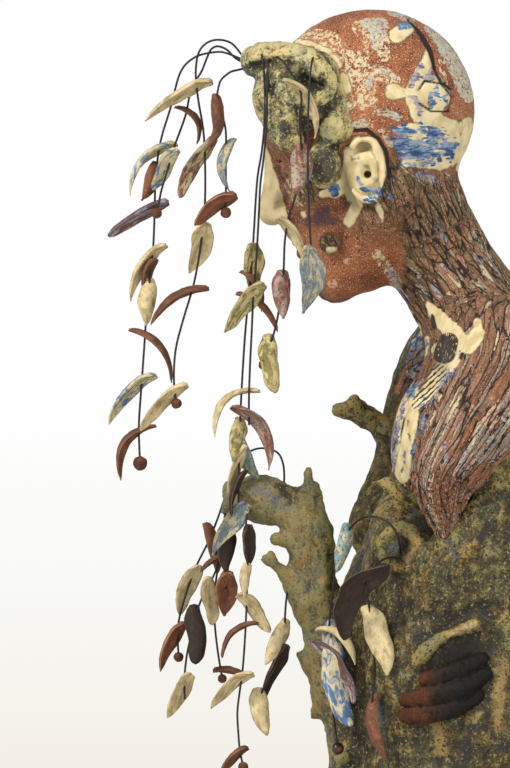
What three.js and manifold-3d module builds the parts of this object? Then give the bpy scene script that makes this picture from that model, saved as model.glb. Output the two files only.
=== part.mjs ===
// Ceramic figure of a bowed woman who turns into a tree, hung with iron wires and ceramic leaves.
// Millimetres, +Z up. The figure faces -Y and its left side is +X. The origin is on the floor under it.
import * as THREE from "three";
import { mergeVertices } from "three/addons/utils/BufferGeometryUtils.js";
import Module from "manifold-3d";

const wasm = await Module();
wasm.setup();

// Driving dimensions
const figureHeight = 600;
const headHeight = 170; // vertex to chin
const headBow = THREE.MathUtils.degToRad(12);
const skullWidth = 106;
const shoulderWidth = 258;
const baseWidth = 246;
const baseDepth = 208;
const wireDiameter = 1.3;
const wireSides = 8;
const clearance = 0.4; // between a wire and what it passes through
const channelSides = 4;
const channelEnd = 2;
const holeReach = 11; // how far a leaf's hole is bored each way along its wire
const leafThickness = 2.8;
const holePlace = 0.2; // where a leaf is pierced, as a share of its length from the stem end

// Fired clay and metal
const clays = {
  body: { color: 0x8d7d58, roughness: 0.85, metalness: 0 },
  slip: { color: 0xdacfa6, roughness: 0.8, metalness: 0 },
  red: { color: 0x9c6048, roughness: 0.85, metalness: 0 },
  dark: { color: 0x4f3427, roughness: 0.85, metalness: 0 },
  blue: { color: 0x6d8fb8, roughness: 0.7, metalness: 0 },
  olive: { color: 0x9f9a62, roughness: 0.75, metalness: 0 },
  wire: { color: 0x2b2a2c, roughness: 0.5, metalness: 1 },
};

const materials = Object.fromEntries(
  Object.entries(clays).map(([name, look]) => [name, new THREE.MeshStandardMaterial(look)]),
);

// A closed geometry as a solid, turned so that its faces point out.
function solid(geometry) {
  const bare = geometry.clone();
  bare.deleteAttribute("normal");
  bare.deleteAttribute("uv");
  const merged = mergeVertices(bare, 1e-4);
  const vertProperties = new Float32Array(merged.attributes.position.array);
  const triVerts = new Uint32Array(merged.index.array).filter((_, i, all) => {
    const [a, b, c] = all.slice(i - (i % 3), i - (i % 3) + 3);
    return a !== b && b !== c && c !== a;
  });
  const made = new wasm.Manifold(new wasm.Mesh({ numProp: 3, vertProperties, triVerts }));
  if (made.volume() > 0) return made;
  return new wasm.Manifold(new wasm.Mesh({ numProp: 3, vertProperties, triVerts: triVerts.reverse() }));
}

function meshOf(name, made, material) {
  const { vertProperties, triVerts } = made.getMesh();
  const geometry = new THREE.BufferGeometry();
  geometry.setAttribute("position", new THREE.BufferAttribute(vertProperties, 3));
  geometry.setIndex(new THREE.BufferAttribute(triVerts, 1));
  geometry.computeVertexNormals();
  const mesh = new THREE.Mesh(geometry, material);
  mesh.name = name;
  return mesh;
}

// Smooth joins of two distances: the fillet is about `soft` wide.
function join(a, b, soft) {
  const near = Math.max(soft - Math.abs(a - b), 0) / soft;
  return Math.min(a, b) - (near * near * soft) / 4;
}

function carve(a, hollow, soft) {
  return -join(-a, hollow, soft);
}

function mix(a, b, t) {
  return a + (b - a) * t;
}

// Distance to an egg with three half axes.
function egg(p, [x, y, z], [rx, ry, rz]) {
  const dx = (p.x - x) / rx;
  const dy = (p.y - y) / ry;
  const dz = (p.z - z) / rz;
  const scaled = Math.hypot(dx, dy, dz);
  const slope = Math.hypot(dx / rx, dy / ry, dz / rz);
  return slope > 0 ? (scaled * (scaled - 1)) / slope : -Math.min(rx, ry, rz);
}

// Distance to a rolled coil of clay through points of x, y, z and radius.
function coil(p, stops) {
  let nearest = Infinity;
  for (let i = 0; i + 1 < stops.length; i++) {
    const [ax, ay, az, ar] = stops[i];
    const [bx, by, bz, br] = stops[i + 1];
    const [dx, dy, dz] = [bx - ax, by - ay, bz - az];
    const along = ((p.x - ax) * dx + (p.y - ay) * dy + (p.z - az) * dz) / (dx * dx + dy * dy + dz * dz);
    const t = THREE.MathUtils.clamp(along, 0, 1);
    const away = Math.hypot(p.x - ax - t * dx, p.y - ay - t * dy, p.z - az - t * dz);
    nearest = Math.min(nearest, away - mix(ar, br, t));
  }
  return nearest;
}

// The head, in its own frame: side to the left ear, forward to the face, up to the crown.
const skullCentre = new THREE.Vector3(0, -36, figureHeight - 61);
const skullDepth = 126;
const skullRise = 61;
const chinDrop = headHeight - skullRise;

function toHead(p) {
  const dy = p.y - skullCentre.y;
  const dz = p.z - skullCentre.z;
  return {
    x: p.x,
    y: -dy * Math.cos(headBow) - dz * Math.sin(headBow),
    z: -dy * Math.sin(headBow) + dz * Math.cos(headBow),
  };
}

function fromHead(side, forward, up) {
  return new THREE.Vector3(
    side,
    skullCentre.y - forward * Math.cos(headBow) - up * Math.sin(headBow),
    skullCentre.z - forward * Math.sin(headBow) + up * Math.cos(headBow),
  );
}

function headField(world) {
  const p = toHead(world);
  const half = { x: Math.abs(p.x), y: p.y, z: p.z };
  let d = egg(p, [0, 0, 0], [skullWidth / 2, skullDepth / 2, skullRise]);
  d = join(d, egg(p, [0, 22, -14], [44, 41, 36]), 14); // brow
  d = join(d, egg(p, [0, 24, -0.42 * chinDrop], [38, 37, 46]), 14); // middle of the face
  d = join(d, egg(p, [0, 24, -0.72 * chinDrop], [31, 30, 28]), 12); // mouth and jaw
  d = join(d, coil(half, [[40, -4, -50, 15], [17, 38, -0.86 * chinDrop, 12]]), 12); // jaw bone
  d = join(d, egg(p, [0, 42, -0.89 * chinDrop], [14, 12, 12]), 8); // chin
  d = join(d, egg(half, [31, 40, -38], [13, 13, 10]), 12); // cheek bone
  d = carve(d, egg(half, [18, 72, -25], [12, 14, 9]), 8); // eye hollow
  d = join(d, egg(half, [17, 50, -26], [12, 9, 7]), 3); // closed eye
  d = join(d, coil(p, [[0, 60, -16, 5], [0, 70, -47, 8]]), 8); // nose
  d = join(d, egg(half, [7.5, 62, -51], [5.5, 7, 5]), 4); // nostril
  d = join(d, egg(p, [0, 54, -68], [15, 8, 4]), 4); // upper lip
  d = join(d, egg(p, [0, 53, -75.5], [12.5, 8, 4.6]), 3); // lower lip
  return d;
}

// The bark trunk: height, middle, half width and half depth, from the base up to the rim at the chest.
const trunkLevels = [
  [0, 12, baseWidth / 2, baseDepth / 2],
  [30, 15, 112, 95],
  [80, 20, 104, 89],
  [144, 26, 106, 83],
  [200, 26, 110, 84],
  [250, 29, 113, 79],
  [290, 34, 112, 71],
  [320, 41, 107, 62],
  [352, 46, 94, 52],
];

const rootRise = 90; // the roots stand out from the trunk below this height

function trunkAt(z) {
  let i = 0;
  while (i < trunkLevels.length - 2 && z > trunkLevels[i + 1][0]) i++;
  const [low, high] = [trunkLevels[i], trunkLevels[i + 1]];
  const t = THREE.MathUtils.smoothstep(z, low[0], high[0]) * 0.5 +
    THREE.MathUtils.clamp((z - low[0]) / (high[0] - low[0]), 0, 1) * 0.5;
  return low.map((value, k) => mix(value, high[k], t));
}

function trunkField(p) {
  const [, middle, halfWidth, halfDepth] = trunkAt(p.z);
  const round = Math.hypot(p.x / halfWidth, (p.y - middle) / halfDepth);
  const turn = Math.atan2(p.y - middle, p.x);
  const ridges = 2.2 * Math.sin(5 * turn + p.z / 46) + 1.6 * Math.sin(9 * turn - p.z / 31);
  const lumps = 1.8 * Math.sin(p.z / 13 + 3 * turn);
  const rootShare = THREE.MathUtils.clamp(1 - p.z / rootRise, 0, 1);
  const roots = 7 * rootShare * (Math.sin(8 * turn + 0.6) - 0.6);
  const wall = (round - 1) * Math.min(halfWidth, halfDepth) - ridges - lumps - roots;
  return -join(-wall, trunkLevels.at(-1)[0] - p.z, 24);
}

const neck = [[0, -20, 500, 33], [0, 4, 453, 31], [0, 29, 412, 33], [0, 42, 380, 44]];
const trapezius = [[0, 22, 424, 26], [76, 38, 388, 24]];
const armRoot = shoulderWidth / 2 - 29;

// Both arms and the shoulders as one coil, from the far hand round the back to where the near arm sinks in.
const arms = [[-26, -24, 262, 24], [-66, -20, 288, 28], [-88, -10, 320, 24], [-armRoot + 3, -4, 350, 24],
  [-armRoot, 10, 381, 28], [-68, 22, 394, 30], [0, 50, 392, 34], [66, 42, 391, 31],
  [armRoot, 38, 370, 29], [armRoot + 4, 22, 343, 24], [armRoot + 4, 7, 317, 18], [armRoot + 2, 8, 288, 7]];

function torsoField(p) {
  let d = egg(p, [0, 55, 342], [92, 50, 66]); // back
  d = join(d, egg(p, [0, 25, 334], [78, 48, 60]), 16); // chest
  d = join(d, coil({ x: Math.abs(p.x), y: p.y, z: p.z }, trapezius), 18);
  d = join(d, coil(p, neck), 20);
  return join(d, trunkField(p), 7);
}

// Where the rows of rays start: up the trunk and the neck, each row leaning forward by some degrees.
const spine = [
  { at: [0, 14, 0], lean: 0, rows: 3 },
  { at: [0, 24, 120], lean: 0, rows: 4 },
  { at: [0, 30, 250], lean: 0, rows: 4 },
  { at: [0, 36, 330], lean: 0, rows: 4 },
  { at: [0, 36, 392], lean: 3, rows: 3 },
  { at: [0, 22, 412], lean: 16, rows: 4 },
  { at: [0, 4, 450], lean: 20, rows: 4 },
  { at: [0, -24, 512], lean: 22, rows: 1 },
];
const torsoSectors = 24;
const headSectors = 22;
const headRows = 18;
const headMiddle = [0, 8, -22]; // in the head's frame
const faceCrowding = 0.5; // 0 spreads the columns evenly, more draws them to the face

function outward(field, from, direction, longest) {
  const step = 3;
  const probe = new THREE.Vector3();
  let far = step;
  while (far < longest && field(probe.copy(from).addScaledVector(direction, far)) < 0) far += step;
  let near = far - step;
  for (let i = 0; i < 12; i++) {
    const middle = (near + far) / 2;
    if (field(probe.copy(from).addScaledVector(direction, middle)) < 0) near = middle;
    else far = middle;
  }
  return probe.copy(from).addScaledVector(direction, (near + far) / 2).clone();
}

// A closed skin over rings of points, with a point at each end.
function skin(rings, first, last) {
  const around = rings[0].length;
  const points = [...rings.flat(), first, last];
  const index = [];
  for (let i = 0; i < around; i++) {
    const next = (i + 1) % around;
    const top = (rings.length - 1) * around;
    index.push(points.length - 2, next, i, top + i, top + next, points.length - 1);
    for (let row = 0; row < top; row += around) {
      const [a, b] = [row + i, row + next];
      index.push(a, b, b + around, a, b + around, a + around);
    }
  }
  const geometry = new THREE.BufferGeometry();
  geometry.setAttribute("position", new THREE.Float32BufferAttribute(points.flatMap((v) => [...v]), 3));
  geometry.setIndex(index);
  return solid(geometry);
}

// Trunk, chest and neck: rays from the spine out to the surface.
function torsoSolid() {
  const rings = [];
  spine.slice(0, -1).forEach(({ at, lean, rows }, i) => {
    const above = spine[i + 1];
    for (let k = 0; k < rows; k++) {
      const from = new THREE.Vector3(...at).lerp(new THREE.Vector3(...above.at), k / rows);
      const tilt = THREE.MathUtils.degToRad(mix(lean, above.lean, k / rows));
      const ring = Array.from({ length: torsoSectors }, (_, column) => {
        const turn = (2 * Math.PI * column) / torsoSectors;
        const back = Math.sin(turn);
        const way = new THREE.Vector3(Math.cos(turn), back * Math.cos(tilt), back * Math.sin(tilt));
        return outward(torsoField, from, way, 170);
      });
      rings.push(ring);
    }
  });
  return skin(rings, new THREE.Vector3(...spine[0].at), new THREE.Vector3(...spine.at(-1).at));
}

// The head: rays from its middle, closest together over the face.
function headSolid() {
  const middle = fromHead(...headMiddle);
  const toSurface = (around, down) => {
    const tip = fromHead(
      headMiddle[0] + Math.sin(down) * Math.sin(around),
      headMiddle[1] + Math.sin(down) * Math.cos(around),
      headMiddle[2] - Math.cos(down),
    );
    return outward(headField, middle, tip.sub(middle), 140);
  };
  const rings = Array.from({ length: headRows }, (_, row) =>
    Array.from({ length: headSectors }, (_, column) => {
      const even = (2 * Math.PI * column) / headSectors;
      return toSurface(even - faceCrowding * Math.sin(even), (Math.PI * (row + 1)) / (headRows + 1));
    }),
  );
  return skin(rings, toSurface(0, 0), toSurface(0, Math.PI));
}

// A tapered coil of clay through points of x, y, z and radius, with rounded ends.
function branch(stops, sides = 6, rows = 4) {
  const path = new THREE.CatmullRomCurve3(stops.map(([x, y, z]) => new THREE.Vector3(x, y, z)));
  path.getPointAt = path.getPoint;
  path.getTangentAt = path.getTangent;
  const frames = path.computeFrenetFrames(rows);
  const long = path.getLength();
  const geometry = new THREE.CylinderGeometry(1, 1, 1, sides, rows);
  const place = geometry.attributes.position;
  for (let i = 0; i < place.count; i++) {
    const row = Math.round((0.5 - place.getY(i)) * rows);
    const t = row / rows;
    const stop = Math.min(t * (stops.length - 1), stops.length - 1.0001);
    const radius = mix(stops[Math.floor(stop)][3], stops[Math.floor(stop) + 1][3], stop % 1);
    const fromEnd = Math.min(Math.min(t, 1 - t) * long, radius) / radius;
    const round = Math.sqrt(1 - 0.72 * (1 - fromEnd) ** 2);
    const at = path.getPoint(t);
    at.addScaledVector(frames.normals[row], place.getX(i) * radius * round);
    at.addScaledVector(frames.binormals[row], place.getZ(i) * radius * round);
    place.setXYZ(i, at.x, at.y, at.z);
  }
  return solid(geometry);
}

function ball(centre, radii) {
  const geometry = new THREE.SphereGeometry(1, 7, 5);
  geometry.scale(...radii);
  geometry.translate(...centre);
  return solid(geometry);
}

// Everything that is pressed onto the body before firing.
const frontLimb = [[31, -32, 140, 25], [34, -43, 168, 19], [34, -55, 194, 16.5], [36, -61, 220, 15],
  [38, -70, 252, 14.5], [39, -72.6, 284, 13.6], [38, -82, 299, 13.6], [35, -100, 305.5, 14],
  [33, -117, 306.5, 11.5]];
const stubs = [
  [[39, -72, 290, 10], [39, -73.5, 305, 6.6], [39, -73, 322.5, 2.4]], // pointed stub on the limb
  [[37, -71, 294, 7.5], [36, -68.4, 304, 5], [36, -69, 313, 3.6]], // round lobe behind it
  [[41, -74, 247, 8], [44, -85, 258, 5.2], [46.6, -97.5, 271, 4.4]], // cut branch on the limb
  [[41, -80, 281, 6.5], [47, -92.6, 282, 3.4]], // small cut branch
  [[34, -66, 205, 9], [40, -80, 213, 2]], // thorn
  [[-90, -20, 342, 11], [-86, -33, 352, 6.8], [-84, -54, 358.5, 4.6]], // cut branch on the far arm
  [[-86, -36, 354, 6], [-80, -44.5, 363.5, 4.4]], // its fork
  [[-92, 40, 210, 20], [-112, 44, 228, 11], [-121, 46, 240, 8]], // cut branch at the back of the far side
  [[20, 96, 172, 18], [24, 112, 186, 9]], // knot at the back
];
const burr = [
  [[46, -62, 566, 11], [47, -80, 567, 12], [43, -96, 568, 11], [34, -104, 568.5, 9.3]], // bough over the brow
  [[43, -62, 572, 9], [45, -58, 552, 10], [44, -56, 528, 12]], // its side towards the ear
];
const burrLumps = [
  [[42, -84, 545], [20, 22, 23]],
  [[45, -64, 506], [14, 11, 15]],
];
const fingers = [
  [[97, -11, 199, 6.4], [107.5, 2, 201, 6.2], [109.5, 16, 205.5, 6], [106, 30, 212.5, 5]],
  [[96, -18, 188, 6.4], [108.5, -2, 190, 6.4], [111, 15, 194.5, 6.2], [106, 33, 204.5, 5.4]],
  [[96, -18, 178.6, 6.2], [107.5, -2, 180, 6.2], [109, 13, 183.5, 6], [104.5, 29, 191, 5.2]],
];
const handLip = [[101, -14, 204, 3], [108, -4, 217, 3.4], [110, 11, 228, 3.6], [107, 25, 233.5, 4]];
const knotCentre = [84, -18.6, 277];

function knotRing() {
  const ring = new THREE.TorusGeometry(10.5, 3.6, 5, 10);
  ring.rotateY(THREE.MathUtils.degToRad(62));
  ring.rotateZ(THREE.MathUtils.degToRad(-8));
  ring.translate(...knotCentre);
  return solid(ring);
}

function belowFloor() {
  const slab = new THREE.BoxGeometry(400, 400, 60);
  slab.translate(0, 0, -30);
  return solid(slab);
}

function figureSolid() {
  let made = torsoSolid().add(headSolid()).add(branch(arms, 9, 17));
  made = made.add(branch(frontLimb, 8, 11));
  stubs.forEach((stops) => (made = made.add(branch(stops))));
  burr.forEach((stops) => (made = made.add(branch(stops, 7, 5))));
  burrLumps.forEach(([centre, radii]) => (made = made.add(ball(centre, radii))));
  made = made.subtract(ball([118, 13, 204], [16, 27, 29])); // hollow for the hand
  [...fingers, handLip].forEach((stops) => (made = made.add(branch(stops))));
  const ear = fromHead(skullWidth / 2 - 3, 8, -40);
  [1, -1].forEach((side) => (made = made.add(ball([side * ear.x, ear.y, ear.z], [6, 11, 19]))));
  made = made.add(knotRing());
  made = made.subtract(ball([62, -74, 556], [9, 8, 7])); // hollow under the burr's ridge
  made = made.subtract(branch([[34, -106, 305, 6], [33, -122, 306.5, 7]])); // open end of the limb
  return made.subtract(belowFloor());
}

// Wires. Each route starts inside its hole and ends below its last leaf or in its bead.
// A leaf: height of its hole on the wire, length, swing to the front, width, and how it hangs.
function leaf(z, length, swing, width, hang) {
  return { z, length, swing, width, bow: 0, roll: 30, lean: 0, clay: "slip", ...hang };
}

const wires = {
  front_1: {
    route: [[32, -110, 567], [33, -114, 573], [34, -119, 578.5], [35, -125, 580.5], [36, -131, 580],
      [36, -136, 577], [36, -139, 572], [36, -140.5, 560], [36, -139, 545], [36, -136, 527],
      [36, -135, 511], [36, -135, 482], [36, -137, 461], [36, -141.5, 435], [36, -148, 413],
      [36, -152.5, 395], [36, -153.5, 376], [36, -152, 363]],
    leaves: [
      leaf(554, 47, 58, 12, { bow: 0.1, roll: 25 }),
      leaf(466, 34, 16, 14.5, { bow: 0.05, roll: 75, lean: -20 }),
      leaf(432, 41, 57, 11, { bow: 0.18, roll: 10, clay: "dark" }),
      leaf(371, 39.5, 44, 11, { bow: 0.12, roll: 30 }),
    ],
    bead: 3.2,
  },
  front_2: {
    route: [[31, -108, 565], [29, -117, 570], [28, -122, 575], [27, -127.5, 577], [27, -131, 575.5],
      [27, -133, 572], [27, -135, 567], [27, -137, 562], [27, -143, 552], [27, -146.5, 536],
      [27, -154, 515], [27, -158, 501], [27, -161, 491], [27, -162.5, 484], [27, -164, 477]],
    leaves: [leaf(511, 32, 31, 10, { bow: 0.06, roll: 70, lean: -15, clay: "blue" })],
  },
  front_3: {
    route: [[29, -107, 566.5], [23, -118, 571.5], [20, -125, 573.8], [18, -132, 573.4], [18, -139.5, 571.5],
      [18, -145, 568], [18, -148.5, 564], [18, -151, 558.5], [18, -155.5, 541], [18, -161.5, 521],
      [18, -164.5, 500], [18, -165.3, 476], [18, -166.2, 455.5], [18, -169.5, 425], [18, -171.6, 395],
      [18, -173.4, 370], [18, -174.7, 350], [18, -174.4, 336], [18, -174, 327]],
    leaves: [
      leaf(517, 42, 41, 12, { bow: 0.24, roll: 25, clay: "blue" }),
      leaf(482, 42, 60, 12, { bow: 0.08, roll: 30, clay: "dark" }),
      leaf(454, 40, 32, 12, { bow: 0.2, roll: 30 }),
      leaf(377, 41, 42, 11, { bow: 0.16, roll: 35, clay: "blue" }),
      leaf(347, 39, 32, 9, { bow: 0.28, roll: 15, clay: "dark" }),
    ],
    bead: 4.4,
  },
  front_4: {
    route: [[34, -108, 564.5], [38, -115, 562.5], [40, -119, 561.5], [42, -122, 559.5], [44, -125.5, 556],
      [45, -127, 551], [45, -127.5, 547], [45, -126.5, 542], [45, -125, 535.5], [45, -123.5, 531.5],
      [45, -122.4, 525], [45, -122.4, 515], [45, -122.4, 500], [45, -122.4, 489], [45, -122.4, 477]],
    leaves: [
      leaf(541, 36, 12, 10, { bow: 0.14, roll: 50, lean: 14, clay: "dark" }),
      leaf(516, 32, 4, 11, { bow: -0.22, roll: -30, lean: 10 }),
      leaf(486, 31, 54, 12, { bow: 0.08, roll: 40, clay: "dark" }),
    ],
  },
  long_1: {
    route: [[44, -100, 569], [52, -101, 571.5], [55.5, -100, 565], [56.5, -99.2, 552], [56.5, -99.2, 533],
      [55.4, -101, 513], [54, -103.5, 498], [52.6, -105.4, 470], [51, -107, 445], [50, -109, 425],
      [50, -111, 403], [50, -113, 371], [50, -114, 348], [50, -114.6, 325], [50, -114.8, 310],
      [50, -114.8, 295]],
    leaves: [
      leaf(453, 33, 0, 13, { bow: 0.05, roll: 78, lean: -18, clay: "olive" }),
      leaf(370.5, 38.5, 44, 10, { bow: 0.3, roll: 8 }),
      leaf(340, 31, -27, 12, { bow: -0.06, roll: -65, lean: -14, clay: "blue" }),
      leaf(331, 46, 14, 8.5, { bow: -0.06, roll: 40, lean: -22 }),
      leaf(298, 38, 32, 13, { bow: 0.06, roll: 68, lean: 8, clay: "blue" }),
    ],
  },
  long_2: {
    route: [[50, -97, 566], [56, -97, 568], [60, -97.5, 562], [61, -97.8, 548], [60.6, -98.2, 528],
      [60, -100, 508], [59.5, -101.8, 494], [59, -102.6, 478], [58, -103.5, 461], [57, -104.5, 445],
      [56, -106, 426], [56, -107, 405], [56, -108, 385], [56, -108.6, 366], [56, -108.6, 350]],
    leaves: [
      leaf(430, 37.5, 38, 14, { bow: 0.1, roll: 55, clay: "olive" }),
      leaf(357, 44, -28, 12, { bow: -0.24, roll: -35, clay: "red" }),
    ],
  },
  temple_1: {
    route: [[50, -93, 568], [57, -92, 569.5], [61, -89, 567.5], [64, -86, 563.5], [67.4, -80.6, 555],
      [69, -77.4, 546], [69, -78.4, 533], [68, -77.6, 519], [66.5, -77.2, 510], [65, -78.5, 498],
      [64, -81, 486], [62, -85, 474], [60.5, -87.2, 460], [59, -88.2, 438], [57.5, -91.2, 416],
      [56.5, -94, 404], [55.6, -97.8, 393], [55, -100, 386]],
    leaves: [
      leaf(552, 40, -27, 9.5, { bow: -0.24, roll: -20, lean: -5 }),
      leaf(512, 32, 4, 15, { roll: 80, lean: 16, clay: "red" }),
      leaf(398, 37, -5, 13, { bow: 0.05, roll: 78, lean: 16, clay: "olive" }),
    ],
  },
  temple_2: {
    route: [[52, -70, 566], [57, -70, 569], [62, -70.4, 569], [66, -71.2, 566], [69.4, -72, 560.4],
      [71.4, -72.6, 553.4], [72.8, -73, 545], [73.4, -73.4, 534], [73.4, -73.6, 522], [73, -73.6, 509],
      [72, -73.4, 496], [71, -73, 482], [70, -72.4, 468], [69, -71.8, 456], [68.4, -71.4, 445]],
    leaves: [leaf(449, 42, 9, 15.5, { roll: 80, lean: -14, clay: "blue" })],
  },
  limb_1: {
    route: [[36, -88, 310], [35, -87.5, 321], [34, -88.5, 328], [33, -91, 333], [32, -96, 335.5],
      [31, -103, 336], [30, -110, 333], [29, -116, 326], [28, -121, 313], [28, -127, 295],
      [28, -133, 280], [28, -140.4, 265], [28, -146.6, 248], [28, -150.8, 232], [28, -151.3, 222],
      [28, -150.8, 211]],
    leaves: [
      leaf(261, 34, 19, 12, { bow: 0.08, roll: 70, lean: -16 }),
      leaf(227, 33, 28, 10, { bow: 0.1, roll: 45, clay: "red" }),
    ],
  },
  limb_2: {
    route: [[33, -108, 305], [34, -114, 305], [35, -119, 303.5], [36, -122.4, 299], [36.5, -123.4, 292],
      [37, -123.8, 284], [38, -125.5, 274], [38, -128.8, 262], [38, -135.9, 248.6], [38, -139.8, 237.8],
      [38, -143, 225], [38, -145.5, 214], [38, -146.8, 204], [38, -147.2, 195], [38, -147, 186]],
    leaves: [
      leaf(236, 37, -2, 12.6, { bow: 0.04, roll: 72, lean: 16, clay: "dark" }),
      leaf(197, 30, 31, 13, { bow: 0.14, roll: 50 }),
    ],
  },
  limb_3: {
    route: [[31, -110, 303], [30, -115, 303], [29, -119, 301], [28, -121.4, 296.5], [27, -122.4, 290],
      [26.4, -123.4, 282], [26, -125.4, 272], [26, -127.6, 262], [26, -129, 252], [26, -129.5, 243],
      [26, -129.3, 234], [26, -128.6, 225], [26, -127.4, 215], [26, -126, 206], [26, -124.6, 198]],
    leaves: [],
  },
  limb_4: {
    route: [[36, -108, 302.5], [38, -112.5, 303], [40, -116.4, 302], [41.6, -118.8, 299.6],
      [42.8, -119.8, 296.4], [43.6, -120.2, 292.6], [44.2, -120.2, 288.6], [44.5, -120.1, 284.6],
      [44.5, -120, 280.4], [44.5, -120, 276], [44.5, -120.3, 271.6], [44.5, -120.8, 267],
      [44.5, -121.4, 262.4], [44.5, -122, 257.4], [44.5, -122.6, 252]],
    leaves: [leaf(258, 29, 4, 14, { bow: 0.04, roll: 74, lean: -20, clay: "red" })],
  },
  limb_5: {
    route: [[41, -107, 301], [46, -108, 301.5], [50.4, -109.3, 299], [52.6, -110.2, 293.5],
      [53, -110.3, 286.5], [53, -110, 277], [53, -109.4, 265], [53, -109.8, 250], [53, -110.4, 234],
      [53, -111.3, 218], [53, -112.6, 202], [53, -114, 192], [53, -115.5, 179], [53, -115, 167],
      [53, -114, 156], [53, -112, 146]],
    leaves: [
      leaf(246, 30, -39, 11, { bow: -0.1, roll: -50 }),
      leaf(200, 33, 49, 10.5, { bow: 0.12, roll: 35 }),
    ],
  },
  twig_1: {
    route: [[43, -84, 256], [44, -85.4, 251.4], [45, -86.2, 246.6], [45.6, -86.7, 241.6],
      [46, -87, 236.4], [46, -87.2, 231.2], [46, -87.7, 226], [46, -88.4, 220.6], [46, -89.5, 215],
      [46, -91.2, 209.4], [46, -93.6, 204], [46, -96.4, 198.8], [46, -99.3, 193.8], [46, -101.6, 188.6],
      [46, -103, 183]],
    leaves: [
      leaf(229, 33.5, 26, 10, { bow: 0.08, roll: 65, lean: 28 }),
      leaf(213, 44, 22, 10, { bow: -0.08, roll: 45, lean: -22, clay: "dark" }),
    ],
  },
  flank_1: {
    route: [[84, -18.5, 274], [88.6, -18.8, 276.5], [92, -19.4, 280.4], [93.8, -20.6, 284.8],
      [93.8, -22.6, 288.8], [92.6, -25.6, 292], [90.6, -29.4, 294.4], [88, -33.4, 295.8],
      [85.2, -37.4, 296], [82.4, -41.2, 295], [80, -44.8, 292.8], [78, -48, 289.4], [76.6, -50.4, 285],
      [75.6, -52.2, 279.4], [75, -53.5, 272]],
    leaves: [leaf(286, 31, 15, 10, { bow: 0.05, roll: 62, lean: 16, clay: "blue" })],
  },
  flank_2: {
    route: [[84, -17, 270], [87.4, -18.6, 270.8], [91, -20.8, 271.4], [94.6, -23.4, 271.8],
      [98, -26.4, 271.6], [101, -29.4, 270.6], [103.4, -32, 269], [105, -34.2, 266.8], [106, -35.8, 264.4],
      [106.6, -37, 262], [107, -37.9, 259.6], [107.2, -38.6, 257.2], [107.4, -39.1, 254.8],
      [107.5, -39.5, 252.4], [107.6, -39.8, 250]],
    leaves: [leaf(262, 52, 24, 18, { bow: 0.12, roll: 70, lean: -8, clay: "dark" })],
  },
  flank_3: {
    route: [[45, -62, 272], [49, -60, 273], [53, -58.4, 272.6], [56.4, -57.6, 270], [58.8, -57.4, 265.4],
      [60.2, -57.8, 258.6], [61, -58.8, 249], [61.5, -60, 240], [62, -61, 229], [62, -61.4, 218],
      [62, -61, 205], [61, -60, 192], [60, -58.4, 178], [59, -57, 168], [58, -55.6, 157]],
    leaves: [leaf(221, 66, -13, 15, { bow: -0.05, roll: -62, lean: 14, clay: "blue" })],
    bead: 4,
  },
  flank_4: {
    route: [[66, -32, 262], [71, -35.5, 262.6], [76, -38, 262], [80.6, -39.4, 260], [84, -39.6, 256.5],
      [86.6, -38.8, 251.5], [88.4, -37.8, 245.5], [90, -36.8, 239], [91.4, -35.8, 231],
      [92.6, -35, 223], [93.4, -34.4, 214], [94, -34.2, 205], [94, -34.6, 196], [93.5, -35.6, 187],
      [92.5, -36.8, 179], [91.5, -37.4, 171]],
    leaves: [
      leaf(236, 47, -16, 14.5, { bow: -0.04, roll: -72, lean: 24 }),
      leaf(183, 42, -10, 9, { bow: -0.16, roll: -40, lean: 20, clay: "dark" }),
    ],
  },
};

function tubeAlong(points, radius, sides = wireSides) {
  const path = new THREE.CatmullRomCurve3(points);
  path.getPointAt = path.getPoint;
  path.getTangentAt = path.getTangent;
  const section = new THREE.Shape();
  for (let i = 0; i < sides; i++) {
    const turn = (2 * Math.PI * i) / sides;
    const [x, y] = [radius * Math.cos(turn), radius * Math.sin(turn)];
    if (i === 0) section.moveTo(x, y);
    else section.lineTo(x, y);
  }
  const steps = points.length - 1;
  return solid(new THREE.ExtrudeGeometry(section, { steps, curveSegments: 1, extrudePath: path }));
}

function routePoints({ route }) {
  return route.map((point) => new THREE.Vector3(...point));
}

// The room that a wire needs in what it passes through: its own tube, wider and a little longer.
function channelAlong(points) {
  const lengthen = (end, before) => end.clone().add(end.clone().sub(before).setLength(channelEnd));
  const first = lengthen(points[0], points[1]);
  const last = lengthen(points.at(-1), points.at(-2));
  const wide = (wireDiameter / 2 + clearance) / Math.cos(Math.PI / channelSides);
  return tubeAlong([first, ...points.slice(1, -1), last], wide, channelSides);
}

// Where a wire passes a height on its way down.
function shareAtHeight(path, z) {
  let [low, high] = [0.2, 1];
  for (let i = 0; i < 24; i++) {
    const middle = (low + high) / 2;
    if (path.getPoint(middle).z > z) low = middle;
    else high = middle;
  }
  return low;
}

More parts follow.
